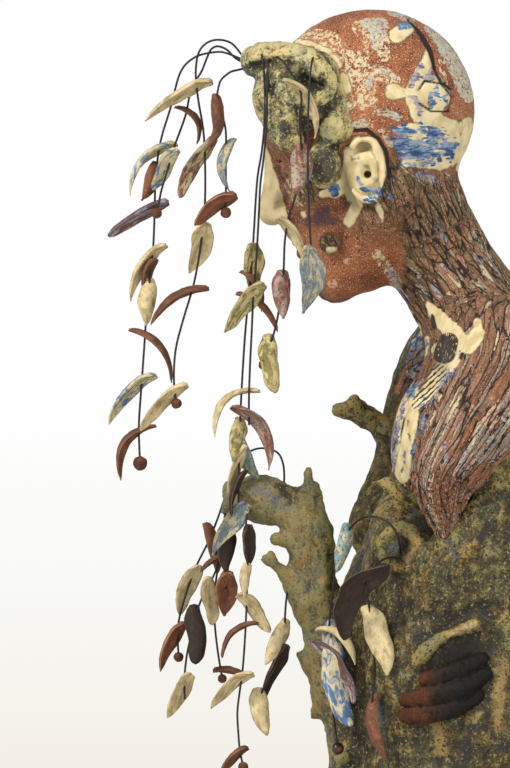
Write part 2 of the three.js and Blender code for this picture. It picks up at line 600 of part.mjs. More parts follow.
// A leaf pinched from a slab: lens-shaped across, widest before its middle, bent along its length.
function leafSolid(wire, { z, length, swing, lean, roll, width, bow }) {
  const [toFront, toSide, twist] = [swing, lean, roll].map(THREE.MathUtils.degToRad);
  const along = new THREE.Vector3(
    Math.sin(toSide),
    -Math.sin(toFront) * Math.cos(toSide),
    -Math.cos(toFront) * Math.cos(toSide),
  );
  const edge = new THREE.Vector3(1, 0, 0).addScaledVector(along, -along.x).normalize();
  edge.applyAxisAngle(along, twist);
  const face = new THREE.Vector3().crossVectors(along, edge);
  if (face.z < 0) face.negate();
  const path = new THREE.CatmullRomCurve3(routePoints(wire));
  const share = shareAtHeight(path, z);
  const hole = path.getPoint(share);
  const rows = 3;
  const rise = (s) => 4 * Math.abs(bow) * length * s * (1 - s);
  const at = (s, across, out) =>
    hole.clone()
      .addScaledVector(along, (s - holePlace) * length)
      .addScaledVector(face, rise(s) - rise(holePlace) + out)
      .addScaledVector(edge, across);
  const points = [];
  for (let i = 0; i <= rows; i++) {
    const s = i / rows;
    const swell = Math.max(Math.sin(Math.PI * s ** 0.8) ** 0.75, i === 0 ? 0.3 : 0.1);
    const half = (width / 2) * swell;
    const thick = (leafThickness / 2) * (0.45 + 0.55 * swell);
    const cup = 0.18 * half;
    points.push(at(s, half, -cup), at(s, 0, thick), at(s, -half, -cup), at(s, 0, -thick));
  }
  const index = [0, 2, 1, 0, 3, 2];
  for (let row = 0; row < rows; row++) {
    for (let k = 0; k < 4; k++) {
      const [a, b] = [4 * row + k, 4 * row + ((k + 1) % 4)];
      index.push(a, b, b + 4, a, b + 4, a + 4);
    }
  }
  const end = 4 * rows;
  index.push(end, end + 1, end + 2, end, end + 2, end + 3);
  const geometry = new THREE.BufferGeometry();
  geometry.setAttribute("position", new THREE.Float32BufferAttribute(points.flatMap((v) => [...v]), 3));
  geometry.setIndex(index);
  const down = path.getTangent(share).setLength(holeReach);
  const channel = channelAlong([hole.clone().sub(down), hole.clone().add(down)]);
  return solid(geometry).subtract(channel);
}

const figure = new THREE.Group();
const holes = Object.values(wires).map((wire) => channelAlong(routePoints(wire).slice(0, 3)));
const body = holes.reduce((made, hole) => made.subtract(hole), figureSolid());
figure.add(meshOf("figure", body, materials.body));

for (const [name, wire] of Object.entries(wires)) {
  figure.add(meshOf(`wire_${name}`, tubeAlong(routePoints(wire), wireDiameter / 2), materials.wire));
  wire.leaves.forEach((shape, i) => {
    figure.add(meshOf(`leaf_${name}_${i + 1}`, leafSolid(wire, shape), materials[shape.clay]));
  });
  if (wire.bead) {
    const lowest = routePoints(wire).slice(-2);
    const round = ball(lowest[1].toArray(), [wire.bead, wire.bead, wire.bead]);
    figure.add(meshOf(`bead_${name}`, round.subtract(channelAlong(lowest)), materials.dark));
  }
}

export default figure;
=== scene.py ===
import math

import bpy
import numpy as np
import openvdb
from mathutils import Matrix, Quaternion, Vector, noise


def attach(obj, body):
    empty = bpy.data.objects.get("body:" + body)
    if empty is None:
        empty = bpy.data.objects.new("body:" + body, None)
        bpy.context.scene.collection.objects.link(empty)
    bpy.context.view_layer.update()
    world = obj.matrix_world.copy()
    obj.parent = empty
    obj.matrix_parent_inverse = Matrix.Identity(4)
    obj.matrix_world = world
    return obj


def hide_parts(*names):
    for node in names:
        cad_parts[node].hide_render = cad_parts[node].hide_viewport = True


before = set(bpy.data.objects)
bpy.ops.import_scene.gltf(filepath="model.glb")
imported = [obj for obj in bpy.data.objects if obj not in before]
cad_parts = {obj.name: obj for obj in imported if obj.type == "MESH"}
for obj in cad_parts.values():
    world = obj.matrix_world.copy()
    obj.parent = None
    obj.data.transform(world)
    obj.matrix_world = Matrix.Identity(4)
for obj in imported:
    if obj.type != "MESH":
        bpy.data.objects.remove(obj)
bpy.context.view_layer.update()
mm = 0.001

# The photograph is 510 x 768 pixels, taken square on from the figure's left side.
photo = {"width": 510, "height": 768, "pixel": 0.6, "axisX": 430, "floorY": 1008.33}


def fromPixel(px, py):  # the figure's Y and Z in mm
    return photo["pixel"] * (px - photo["axisX"]), photo["pixel"] * (photo["floorY"] - py)


def linearColor(code):  # sRGB hex to linear
    shares = [int(code[i:i + 2], 16) / 255 for i in (1, 3, 5)]
    return [c / 12.92 if c <= 0.04045 else ((c + 0.055) / 1.055) ** 2.4 for c in shares] + [1.0]


def addNode(tree, kind, *inputs, stops=None, **named):
    # Inputs come by number, then by socket name with _ for a space: a node, a socket, a hex colour or a
    # plain value. Names in small letters are the node's own settings. A kind in capitals is a Math node's
    # operation. Stops are places on a colour ramp, each with its hex colour.
    if kind.isupper():
        kind, named["operation"] = "Math", kind
    node = tree.nodes.new(kind if "Node" in kind else "ShaderNode" + kind)
    for name in [name for name in named if name[0].islower()]:
        setattr(node, name, named.pop(name))
    if stops:
        ramp = node.color_ramp.elements
        while len(ramp) < len(stops):
            ramp.new(0.5)
        for element, (place, code) in zip(ramp, stops):
            element.position = place
            element.color = linearColor(code)
    sockets = {socket.name.replace(" ", "_"): socket for socket in reversed(node.inputs) if socket.enabled}
    for key, value in [*enumerate(inputs), *named.items()]:
        socket = node.inputs[key] if isinstance(key, int) else sockets[key]
        if isinstance(value, str) and value.startswith("#"):
            value = linearColor(value)
        if isinstance(value, bpy.types.Node):
            value = next(s for s in value.outputs if s.enabled)
        if isinstance(value, bpy.types.NodeSocket):
            tree.links.new(value, socket)
        else:
            socket.default_value = value
    return node


def perMm(size):  # a texture's scale for marks of this many mm
    return 1 / (size * mm)


def putIn(name, data):  # an object of the scene
    thing = bpy.data.objects.new(name, data)
    bpy.context.scene.collection.objects.link(thing)
    return thing


# Camera
view = {"distance": 6.0, "plane": 0.02, "sensor": 36.0}
lens = bpy.data.cameras.new("camera")
frameHeight = photo["height"] * photo["pixel"] * mm
lens.sensor_width = view["sensor"]
lens.lens = view["sensor"] * view["distance"] / frameHeight
lens.clip_end = 80
camera = putIn("camera", lens)
middleY, middleZ = fromPixel(photo["width"] / 2, photo["height"] / 2)
camera.location = (view["plane"] + view["distance"], middleY * mm, middleZ * mm)
camera.rotation_euler = (math.pi / 2, 0, math.pi / 2)
bpy.context.scene.camera = camera
print("camera set")


# Wires: black annealed iron, 1.3 mm, pushed into holes of the fired clay and bent by hand.
# Each leaf hangs by a hole a fifth of the way down its length. Its numbers: height of the hole, length,
# swing to the front in degrees, width, clay, then how it bends, rolls and leans.
def leaf(z, length, swing, width, clay, bow=0.0, roll=30, lean=0, node=True, sickle=None):
    return {"z": z, "length": length, "swing": swing, "width": width,
            "clay": clay, "bow": bow, "roll": roll, "lean": lean, "node": node, "sickle": sickle}


def small(z, length, swing, width, clay, bow=0.0, roll=30, lean=0):  # too many for the CAD model
    return leaf(z, length, swing, width, clay, bow, roll, lean, node=False)


wires = {
    "front_1": {
        "route": [
            (32, -110, 567), (33, -114, 573), (34, -119, 578.5), (35, -125, 580.5), (36, -131, 580),
            (36, -136, 577), (36, -139, 572), (36, -140.5, 560), (36, -139, 545), (36, -136, 527),
            (36, -135, 511), (36, -135, 482), (36, -137, 461), (36, -141.5, 435), (36, -148, 413),
            (36, -152.5, 395), (36, -153.5, 376), (36, -152, 363)],
        "leaves": [
            leaf(554, 47, 58, 12, "cream", 0.1, 25),
            leaf(466, 34, 16, 14.5, "cream", 0.05, 75, -20),
            leaf(432, 41, 57, 11, "brown", 0.18, 10),
            leaf(371, 39.5, 44, 11, "cream", 0.12, 30),
            small(516, 42, 33, 10, "mottled", 0.2, 55, 4)],
        "bead": 3.2, "beadNode": True},
    "front_2": {
        "route": [
            (31, -108, 565), (29, -117, 570), (28, -122, 575), (27, -127.5, 577), (27, -131, 575.5),
            (27, -133, 572), (27, -135, 567), (27, -137, 562), (27, -143, 552), (27, -146.5, 536),
            (27, -154, 515), (27, -158, 501), (27, -161, 491), (27, -162.5, 484), (27, -164, 477)],
        "leaves": [
            leaf(511, 32, 31, 10, "blue", 0.06, 70, -15),
            small(539, 26, -30, 6.5, "brown", -0.3, 20)],
        "bead": 3.3},
    "front_3": {
        "route": [
            (29, -107, 566.5), (23, -118, 571.5), (20, -125, 573.8), (18, -132, 573.4), (18, -139.5, 571.5),
            (18, -145, 568), (18, -148.5, 564), (18, -151, 558.5), (18, -155.5, 541), (18, -161.5, 521),
            (18, -164.5, 500), (18, -165.3, 476), (18, -166.2, 455.5), (18, -169.5, 425), (18, -171.6, 395),
            (18, -173.4, 370), (18, -174.7, 350), (18, -174.4, 336), (18, -174, 327)],
        "leaves": [
            leaf(517, 42, 41, 12, "blue", 0.24, 25),
            leaf(482, 42, 60, 12, "lavender", 0.08, 30),
            leaf(454, 40, 32, 12, "cream", 0.2, 30),
            leaf(377, 41, 42, 11, "blue", 0.16, 35),
            leaf(347, 39, 32, 9, "brown", 0.28, 15),
            small(503, 26, 24, 11, "rust", 0.1, 62, 18),
            small(446, 27, 18, 9, "brown", 0.12, 40, -16),
            small(433, 31, 2, 11, "cream", 0.03, 76, 22),
            small(404.6, 41, -38, 8.5, "brown", -0.22, 12)],
        "bead": 4.4, "beadNode": True},
    "front_4": {
        "route": [
            (34, -108, 564.5), (38, -115, 562.5), (40, -119, 561.5), (42, -122, 559.5), (44, -125.5, 556),
            (45, -127, 551), (45, -127.5, 547), (45, -126.5, 542), (45, -125, 535.5), (45, -123.5, 531.5),
            (45, -122.4, 525), (45, -122.4, 515), (45, -122.4, 500), (45, -122.4, 489), (45, -122.4, 477)],
        "leaves": [
            leaf(541, 36, 12, 10, "brown", 0.14, 50, 14),
            leaf(516, 32, 4, 11, "bluegrey", -0.22, -30, 10),
            leaf(486, 31, 54, 12, "rust", 0.08, 40)],
        "bead": 3.3},
    "long_1": {
        "route": [
            (44, -100, 569), (52, -101, 571.5), (55.5, -100, 565), (56.5, -99.2, 552), (56.5, -99.2, 533),
            (55.4, -101, 513), (54, -103.5, 498), (52.6, -105.4, 470), (51, -107, 445), (50, -109, 425),
            (50, -111, 403), (50, -113, 371), (50, -114, 348), (50, -114.6, 325), (50, -114.8, 310),
            (50, -114.8, 295)],
        "leaves": [
            leaf(453, 33, 0, 13, "olive", 0.05, 78, -18),
            leaf(370.5, 38.5, 44, 10, "cream", 0.3, 8),
            leaf(340, 31, -27, 12, "turquoise", -0.06, -65, -14),
            leaf(331, 46, 14, 8.5, "cream", -0.06, 40, -22),
            leaf(298, 38, 32, 13, "bluegrey", 0.06, 68, 8),
            small(439, 27, -26, 7, "brown", -0.2, 15),
            small(427, 34, -46, 6, "rust", -0.16, 20, 4),
            small(350, 28, 10, 11, "olive", 0.1, 60, 18),
            small(318, 30, 17, 6, "darkbrown", 0.12, 25, 20)],
        "bead": 0},
    "long_2": {
        "route": [
            (50, -97, 566), (56, -97, 568), (60, -97.5, 562), (61, -97.8, 548), (60.6, -98.2, 528),
            (60, -100, 508), (59.5, -101.8, 494), (59, -102.6, 478), (58, -103.5, 461), (57, -104.5, 445),
            (56, -106, 426), (56, -107, 405), (56, -108, 385), (56, -108.6, 366), (56, -108.6, 350)],
        "leaves": [
            leaf(430, 37.5, 38, 14, "olive", 0.1, 55),
            leaf(357, 44, -28, 12, "pink", -0.24, -35)],
        "bead": 0},
    "temple_1": {
        "route": [
            (50, -93, 568), (57, -92, 569.5), (61, -89, 567.5), (64, -86, 563.5), (67.4, -80.6, 555),
            (69, -77.4, 546), (69, -78.4, 533), (68, -77.6, 519), (66.5, -77.2, 510), (65, -78.5, 498),
            (64, -81, 486), (62, -85, 474), (60.5, -87.2, 460), (59, -88.2, 438), (57.5, -91.2, 416),
            (56.5, -94, 404), (55.6, -97.8, 393), (55, -100, 386)],
        "leaves": [
            leaf(552, 40, -27, 9.5, "cream", -0.24, -20, -5),
            leaf(512, 32, 4, 15, "pink", 0.0, 80, 16),
            leaf(398, 37, -5, 13, "olive", 0.05, 78, 16),
            small(503, 26, 16, 6, "olive", 0.06, 40, -20),
            small(470, 33, -29, 10.5, "cream", -0.16, -30),
            small(437, 30, 2, 12, "pink", 0.0, 72, 14)],
        "bead": 3.0},
    "temple_2": {
        "route": [
            (52, -70, 566), (57, -70, 569), (62, -70.4, 569), (66, -71.2, 566), (69.4, -72, 560.4),
            (71.4, -72.6, 553.4), (72.8, -73, 545), (73.4, -73.4, 534), (73.4, -73.6, 522),
            (73, -73.6, 509), (72, -73.4, 496), (71, -73, 482), (70, -72.4, 468), (69, -71.8, 456),
            (68.4, -71.4, 445)],
        "leaves": [
            leaf(449, 42, 9, 15.5, "bluegrey", 0.0, 80, -14)],
        "bead": 0},
    "limb_1": {
        "route": [
            (36, -88, 310), (35, -87.5, 321), (34, -88.5, 328), (33, -91, 333), (32, -96, 335.5),
            (31, -103, 336), (30, -110, 333), (29, -116, 326), (28, -121, 313), (28, -127, 295),
            (28, -133, 280), (28, -140.4, 265), (28, -146.6, 248), (28, -150.8, 232), (28, -151.3, 222),
            (28, -150.8, 211)],
        "leaves": [
            leaf(261, 34, 19, 12, "cream", 0.08, 70, -16),
            leaf(227, 33, 28, 10, "rust", 0.1, 45),
            small(286, 32, -8, 10, "brown", -0.12, 40, 12)],
        "bead": 3.0},
    "limb_2": {
        "route": [
            (33, -108, 305), (34, -114, 305), (35, -119, 303.5), (36, -122.4, 299), (36.5, -123.4, 292),
            (37, -123.8, 284), (38, -125.5, 274), (38, -128.8, 262), (38, -135.9, 248.6),
            (38, -139.8, 237.8), (38, -143, 225), (38, -145.5, 214), (38, -146.8, 204), (38, -147.2, 195),
            (38, -147, 186)],
        "leaves": [
            leaf(236, 37, -2, 12.6, "darkbrown", 0.04, 72, 16),
            leaf(197, 30, 31, 13, "cream", 0.14, 50),
            small(271, 18, 56, 6, "brown", 0.1, 20),
            small(254, 31, -4, 10, "cream", 0.04, 66, -18)],
        "bead": 0},
    "limb_3": {
        "route": [
            (31, -110, 303), (30, -115, 303), (29, -119, 301), (28, -121.4, 296.5), (27, -122.4, 290),
            (26.4, -123.4, 282), (26, -125.4, 272), (26, -127.6, 262), (26, -129, 252), (26, -129.5, 243),
            (26, -129.3, 234), (26, -128.6, 225), (26, -127.4, 215), (26, -126, 206), (26, -124.6, 198)],
        "leaves": [
            small(204, 21, -78, 6, "brown", -0.1, 20)],
        "bead": 2.8},
    "limb_4": {
        "route": [
            (36, -108, 302.5), (38, -112.5, 303), (40, -116.4, 302), (41.6, -118.8, 299.6),
            (42.8, -119.8, 296.4), (43.6, -120.2, 292.6), (44.2, -120.2, 288.6), (44.5, -120.1, 284.6),
            (44.5, -120, 280.4), (44.5, -120, 276), (44.5, -120.3, 271.6), (44.5, -120.8, 267),
            (44.5, -121.4, 262.4), (44.5, -122, 257.4), (44.5, -122.6, 252)],
        "leaves": [
            leaf(258, 29, 4, 14, "rust", 0.04, 74, -20),
            small(284, 28, 6, 11, "darkbrown", 0.05, 60, 14)],
        "bead": 0},
    "limb_5": {
        "route": [
            (41, -107, 301), (46, -108, 301.5), (50.4, -109.3, 299), (52.6, -110.2, 293.5),
            (53, -110.3, 286.5), (53, -110, 277), (53, -109.4, 265), (53, -109.8, 250), (53, -110.4, 234),
            (53, -111.3, 218), (53, -112.6, 202), (53, -114, 192), (53, -115.5, 179), (53, -115, 167),
            (53, -114, 156), (53, -112, 146)],
        "leaves": [
            leaf(246, 30, -39, 11, "cream", -0.1, -50),
            leaf(200, 33, 49, 10.5, "cream", 0.12, 35),
            small(286, 25, -4, 9, "darkbrown", -0.04, 62, -14),
            small(264, 22, 6, 7, "cream", 0.05, 60, 18),
            small(231, 30, 46, 6, "brown", 0.22, 15, 6),
            small(156, 24, 45, 8, "brown", 0.1, 30)],
        "bead": 3.2},
    "twig_1": {
        "route": [
            (43, -84, 256), (44, -85.4, 251.4), (45, -86.2, 246.6), (45.6, -86.7, 241.6), (46, -87, 236.4),
            (46, -87.2, 231.2), (46, -87.7, 226), (46, -88.4, 220.6), (46, -89.5, 215), (46, -91.2, 209.4),
            (46, -93.6, 204), (46, -96.4, 198.8), (46, -99.3, 193.8), (46, -101.6, 188.6), (46, -103, 183)],
        "leaves": [
            leaf(229, 33.5, 26, 10, "cream", 0.08, 65, 28),
            leaf(213, 44, 22, 10, "darkbrown", -0.08, 45, -22),
            small(188, 30, -9, 13, "cream", -0.05, 66, 16)],
        "bead": 0},
    "flank_1": {
        "route": [
            (84, -18.5, 274), (88.6, -18.8, 276.5), (92, -19.4, 280.4), (93.8, -20.6, 284.8),
            (93.8, -22.6, 288.8), (92.6, -25.6, 292), (90.6, -29.4, 294.4), (88, -33.4, 295.8),
            (85.2, -37.4, 296), (82.4, -41.2, 295), (80, -44.8, 292.8), (78, -48, 289.4),
            (76.6, -50.4, 285), (75.6, -52.2, 279.4), (75, -53.5, 272)],
        "leaves": [
            leaf(286, 31, 15, 10, "turquoise", 0.05, 62, 16)],
        "bead": 0},
    "flank_2": {
        "route": [
            (84, -17, 270), (87.4, -18.6, 270.8), (91, -20.8, 271.4), (94.6, -23.4, 271.8),
            (98, -26.4, 271.6), (101, -29.4, 270.6), (103.4, -32, 269), (105, -34.2, 266.8),
            (106, -35.8, 264.4), (106.6, -37, 262), (107, -37.9, 259.6), (107.2, -38.6, 257.2),
            (107.4, -39.1, 254.8), (107.5, -39.5, 252.4), (107.6, -39.8, 250)],
        "leaves": [
            leaf(262, 52, 24, 18, "darkbrown", 0.12, 70, -8, sickle=9)],
        "bead": 0},
    "flank_3": {
        "route": [
            (45, -62, 272), (49, -60, 273), (53, -58.4, 272.6), (56.4, -57.6, 270), (58.8, -57.4, 265.4),
            (60.2, -57.8, 258.6), (61, -58.8, 249), (61.5, -60, 240), (62, -61, 229), (62, -61.4, 218),
            (62, -61, 205), (61, -60, 192), (60, -58.4, 178), (59, -57, 168), (58, -55.6, 157)],
        "leaves": [
            leaf(221, 66, -13, 15, "cobalt", -0.05, -62, 14),
            small(229, 36, -48, 8, "cream", -0.25, 20, 32),
            small(216, 50, -32, 10, "lavender", -0.12, -50, 28)],
        "bead": 4, "beadNode": True},
    "flank_4": {
        "route": [
            (66, -32, 262), (71, -35.5, 262.6), (76, -38, 262), (80.6, -39.4, 260), (84, -39.6, 256.5),
            (86.6, -38.8, 251.5), (88.4, -37.8, 245.5), (90, -36.8, 239), (91.4, -35.8, 231),
            (92.6, -35, 223), (93.4, -34.4, 214), (94, -34.2, 205), (94, -34.6, 196), (93.5, -35.6, 187),
            (92.5, -36.8, 179), (91.5, -37.4, 171)],
        "leaves": [
            leaf(236, 47, -16, 14.5, "cream", -0.04, -72, 24),
            leaf(183, 42, -10, 9, "rust", -0.16, -40, 20)],
        "bead": 0},
}
wireLook = {"diameter": 1.3, "samples": 4, "dark": "#232226", "pale": "#39373a", "scaleSize": 2,
            "metal": 0.6, "roughness": 0.475, "uneven": 0.075}


def smoothLine(stops, samples):
    # A centripetal Catmull-Rom line through rows of numbers, as the CAD's routes run.
    stops = np.array(stops, float)
    knots = np.vstack([2 * stops[0] - stops[1], stops, 2 * stops[-1] - stops[-2]])
    steps = np.linalg.norm(np.diff(knots[:, :3], axis=0), axis=1) ** 0.5
    line = []
    for i in range(len(stops) - 1):
        p = knots[i:i + 4]
        t = np.concatenate([[0], np.cumsum(steps[i:i + 3])])
        for u in np.linspace(t[1], t[2], samples, endpoint=False):
            a = [((t[k + 1] - u) * p[k] + (u - t[k]) * p[k + 1]) / (t[k + 1] - t[k]) for k in range(3)]
            b = [((t[k + 2] - u) * a[k] + (u - t[k]) * a[k + 1]) / (t[k + 2] - t[k]) for k in range(2)]
            line.append(((t[2] - u) * b[0] + (u - t[1]) * b[1]) / (t[2] - t[1]))
    return np.array(line + [stops[-1]])


def bendWire(name, route):
    line = smoothLine(route, wireLook["samples"]) * mm
    curve = bpy.data.curves.new(name, "CURVE")
    curve.dimensions = "3D"
    curve.bevel_depth = 1.0  # times each point's radius, which Blender also adds to the curve's box
    curve.bevel_resolution = 2
    curve.use_fill_caps = True
    spline = curve.splines.new("POLY")
    spline.points.add(len(line) - 1)
    spline.points.foreach_set("co", np.hstack([line, np.ones((len(line), 1))]).ravel())
    spline.points.foreach_set("radius", np.full(len(line), wireLook["diameter"] / 2 * mm))
    spline.use_smooth = True
    wire = putIn(name, curve)
    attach(wire, "root")
    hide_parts("wire_" + name.removeprefix("iron_wire_"))
    length = np.linalg.norm(np.diff(line, axis=0), axis=1).sum()
    return wire, line, length


strung = {}
for wireName, wireParts in wires.items():
    strung[wireName] = bendWire("iron_wire_" + wireName, wireParts["route"])
print("wires bent")


# Clay as signed distances in mm on a grid, negative inside
farAway = 60.0  # no distance on the grid is more


def join(a, b, soft):
    near = np.maximum(soft - np.abs(a - b), 0) / soft
    return np.minimum(a, b) - near * near * (soft / 4)


def carve(a, hollow, soft):
    return -join(-a, hollow, soft)


def eggDistance(x, y, z, centre, radii):
    dx, dy, dz = (x - centre[0]) / radii[0], (y - centre[1]) / radii[1], (z - centre[2]) / radii[2]
    scaled = np.sqrt(dx * dx + dy * dy + dz * dz)
    slope = np.sqrt((dx / radii[0]) ** 2 + (dy / radii[1]) ** 2 + (dz / radii[2]) ** 2)
    return scaled * (scaled - 1) / np.maximum(slope, 1e-4)


def coilDistance(x, y, z, a, b):
    dx, dy, dz = b[0] - a[0], b[1] - a[1], b[2] - a[2]
    along = ((x - a[0]) * dx + (y - a[1]) * dy + (z - a[2]) * dz) / max(dx * dx + dy * dy + dz * dz, 1e-9)
    t = np.clip(along, 0, 1)
    away = np.sqrt((x - a[0] - t * dx) ** 2 + (y - a[1] - t * dy) ** 2 + (z - a[2] - t * dz) ** 2)
    return away - (a[3] + (b[3] - a[3]) * t)


# The head's own frame: side to the left ear, forward to the face, up to the crown.
head = {
    "centre": (0, -36, 539), "bow": math.radians(12), "width": 106, "depth": 126, "rise": 61, "chin": 109}
bowCos, bowSin = math.cos(head["bow"]), math.sin(head["bow"])


def toHead(x, y, z):
    dy, dz = y - head["centre"][1], z - head["centre"][2]
    return x, -dy * bowCos - dz * bowSin, -dy * bowSin + dz * bowCos


def fromHead(side, forward, up):
    return np.array([side, head["centre"][1] - forward * bowCos - up * bowSin,
                     head["centre"][2] - forward * bowSin + up * bowCos])


# A form is its box's two corners and its distance. Forms pressed together share one fillet.
def egg(centre, radii, inHead=False):
    middle = fromHead(*centre) if inHead else np.array(centre, float)
    reach = np.full(3, max(radii[1:])) if inHead else np.array(radii, float)
    reach[0] = radii[0]

    def distance(x, y, z):
        place = toHead(x, y, z) if inHead else (x, y, z)
        return eggDistance(*place, centre, radii)

    return [(middle - reach, middle + reach, distance)]


def coil(stops, inHead=False, samples=1):
    if samples > 1:
        stops = smoothLine(stops, samples)
    forms = []
    for a, b in zip(stops, stops[1:]):
        if inHead:
            a, b = [*fromHead(*a[:3]), a[3]], [*fromHead(*b[:3]), b[3]]
        ends = np.array([a, b], float)
        reach = ends[:, 3].max()
        low, high = ends[:, :3].min(axis=0) - reach, ends[:, :3].max(axis=0) + reach
        forms.append((low, high, lambda x, y, z, a=a, b=b: coilDistance(x, y, z, a, b)))
    return forms


def bothSides(make, place, *rest, **words):
    mirrored = [-place[0], *place[1:]]
    return make(place, *rest, **words) + make(mirrored, *rest, **words)


class Clay:
    def __init__(self, low, high, cell):
        self.low = np.array(low, float)
        self.cell = cell
        self.size = np.ceil((np.array(high) - self.low) / cell).astype(int) + 1
        self.value = np.full(self.size, farAway, np.float32)

    def span(self, low, high):
        first = np.floor((low - self.low) / self.cell).astype(int)
        last = np.ceil((high - self.low) / self.cell).astype(int) + 1
        return np.clip(first, 0, self.size), np.clip(last, 0, self.size)

    def axes(self, first, last):
        rows = [
            (self.low[k] + self.cell * np.arange(first[k], last[k])).astype(np.float32) for k in range(3)]
        return np.meshgrid(*rows, indexing="ij", sparse=True)

    def press(self, forms, soft, hollow=False):
        margin = soft + 3 * self.cell
        first, last = self.span(np.min([low for low, _, _ in forms], axis=0) - margin,
                                np.max([high for _, high, _ in forms], axis=0) + margin)
        if (last <= first).any():
            return
        fresh = np.full(last - first, farAway, np.float32)
        for low, high, distance in forms:
            start, end = self.span(low - margin, high + margin)
            start, end = np.maximum(start, first), np.minimum(end, last)
            part = tuple(slice(i, j) for i, j in zip(start - first, end - first))
            fresh[part] = np.minimum(fresh[part], distance(*self.axes(start, end)))
        whole = tuple(slice(i, j) for i, j in zip(first, last))
        change = carve if hollow else join
        self.value[whole] = change(self.value[whole], fresh, soft)

    def surface(self):
        edge = np.ones(self.size, bool)
        edge[1:-1, 1:-1, 1:-1] = False
        self.value[edge] = np.maximum(self.value[edge], self.cell)
        grid = openvdb.FloatGrid(farAway)
        grid.copyFromArray(np.clip(self.value, -farAway, farAway))
        points, quads = grid.convertToQuads(isovalue=0.0)
        points = points * self.cell + self.low
        a, b, c, d = (points[quads[:, k]] for k in range(4))
        volume = (a * np.cross(b, c)).sum() + (a * np.cross(c, d)).sum()
        return points, quads if volume > 0 else quads[:, ::-1]


def clayPiece(name, points, faces):
    faces = np.ascontiguousarray(faces, np.int32)
    mesh = bpy.data.meshes.new(name)
    mesh.vertices.add(len(points))
    mesh.vertices.foreach_set("co", np.asarray(points * mm, np.float32).ravel())
    mesh.loops.add(faces.size)
    mesh.loops.foreach_set("vertex_index", faces.ravel())
    mesh.polygons.add(len(faces))
    mesh.polygons.foreach_set("loop_start", np.arange(0, faces.size, faces.shape[1], dtype=np.int32))
    mesh.update(calc_edges=True)
    mesh.polygons.foreach_set("use_smooth", np.ones(len(faces), bool))
    mesh.validate()
    piece = putIn(name, mesh)
    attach(piece, "root")
    return piece


def pointsOf(mesh):
    points = np.empty(3 * len(mesh.vertices), np.float32)
    mesh.vertices.foreach_get("co", points)
    return points.reshape(-1, 3) / mm


def writeField(mesh, name, values):
    isVector = np.ndim(values) == 2
    layer = mesh.attributes.new(name, "FLOAT_VECTOR" if isVector else "FLOAT", "POINT")
    layer.data.foreach_set("vector" if isVector else "value", np.asarray(values, np.float32).ravel())


def readField(tree, name, isVector=False):
    if tree.type == "GEOMETRY":
        kind = "FLOAT_VECTOR" if isVector else "FLOAT"
        return addNode(tree, "GeometryNodeInputNamedAttribute", Name=name, data_type=kind)
    source = addNode(tree, "Attribute", attribute_name=name)
    return source.outputs["Vector" if isVector else "Fac"]


def settle(piece):  # the modifiers' result becomes the mesh
    graph = bpy.context.evaluated_depsgraph_get()
    made = bpy.data.meshes.new_from_object(piece.evaluated_get(graph))
    piece.modifiers.clear()
    old = piece.data
    piece.data = made
    made.name = piece.name
    bpy.data.meshes.remove(old)
    made.polygons.foreach_set("use_smooth", np.ones(len(made.polygons), bool))
    return made


def pressRelief(piece, heightOf):  # moves the surface out by heightOf's mm
    tree = bpy.data.node_groups.new(piece.name + "_relief", "GeometryNodeTree")
    tree.interface.new_socket("Geometry", in_out="INPUT", socket_type="NodeSocketGeometry")
    tree.interface.new_socket("Geometry", in_out="OUTPUT", socket_type="NodeSocketGeometry")
    height = addNode(tree, "MULTIPLY", heightOf(tree), mm)
    normal = addNode(tree, "GeometryNodeInputNormal")
    offset = addNode(tree, "VectorMath", normal, Scale=height, operation="SCALE")
    moved = addNode(tree, "GeometryNodeSetPosition", addNode(tree, "NodeGroupInput"), Offset=offset)
    addNode(tree, "NodeGroupOutput", moved)
    piece.modifiers.new("relief", "NODES").node_group = tree
    settle(piece)


def thinOut(piece, most):  # fewer, larger triangles where the surface is plain
    triangles = sum(len(polygon.vertices) - 2 for polygon in piece.data.polygons)
    if triangles > most:
        modifier = piece.modifiers.new("thin out", "DECIMATE")
        modifier.ratio = most / triangles
        modifier.use_collapse_triangulate = True
        settle(piece)


def hollowness(mesh, rounds):  # mm below the smoothed surface, more than 0 in hollows
    points = pointsOf(mesh)
    pairs = np.empty(2 * len(mesh.edges), np.int32)
    mesh.edges.foreach_get("vertices", pairs)
    a, b = pairs[0::2], pairs[1::2]
    count = len(points)
    near = np.bincount(a, minlength=count) + np.bincount(b, minlength=count)
    smooth = points.copy()
    for _ in range(rounds):
        for k in range(3):
            total = np.bincount(a, smooth[b, k], count) + np.bincount(b, smooth[a, k], count)
            smooth[:, k] = total / np.maximum(near, 1)
    normals = np.empty(3 * count, np.float32)
    mesh.vertices.foreach_get("normal", normals)
    return ((smooth - points) * normals.reshape(-1, 3)).sum(axis=1)


# Forms of the figure, as in the CAD model, with the finer ones that only the surface needs
skinForms = {"cell": 1.15, "quickCell": 2.2, "most": 194000}
neck = [[0, -20, 500, 33], [0, 4, 453, 31], [0, 29, 412, 33], [0, 42, 380, 44]]
trapezius = [[0, 22, 424, 26], [76, 38, 388, 24]]
arms = [[-66, -20, 288, 28], [-88, -10, 320, 24], [-97, -4, 350, 24], [-100, 10, 381, 28],
        [-68, 22, 394, 30], [0, 50, 392, 34], [66, 42, 391, 31], [100, 38, 370, 29], [104, 22, 343, 24],
        [104, 7, 317, 18], [102, 8, 288, 7]]
chin = head["chin"]
earCentre = fromHead(head["width"] / 2 - 3, 8, -40)


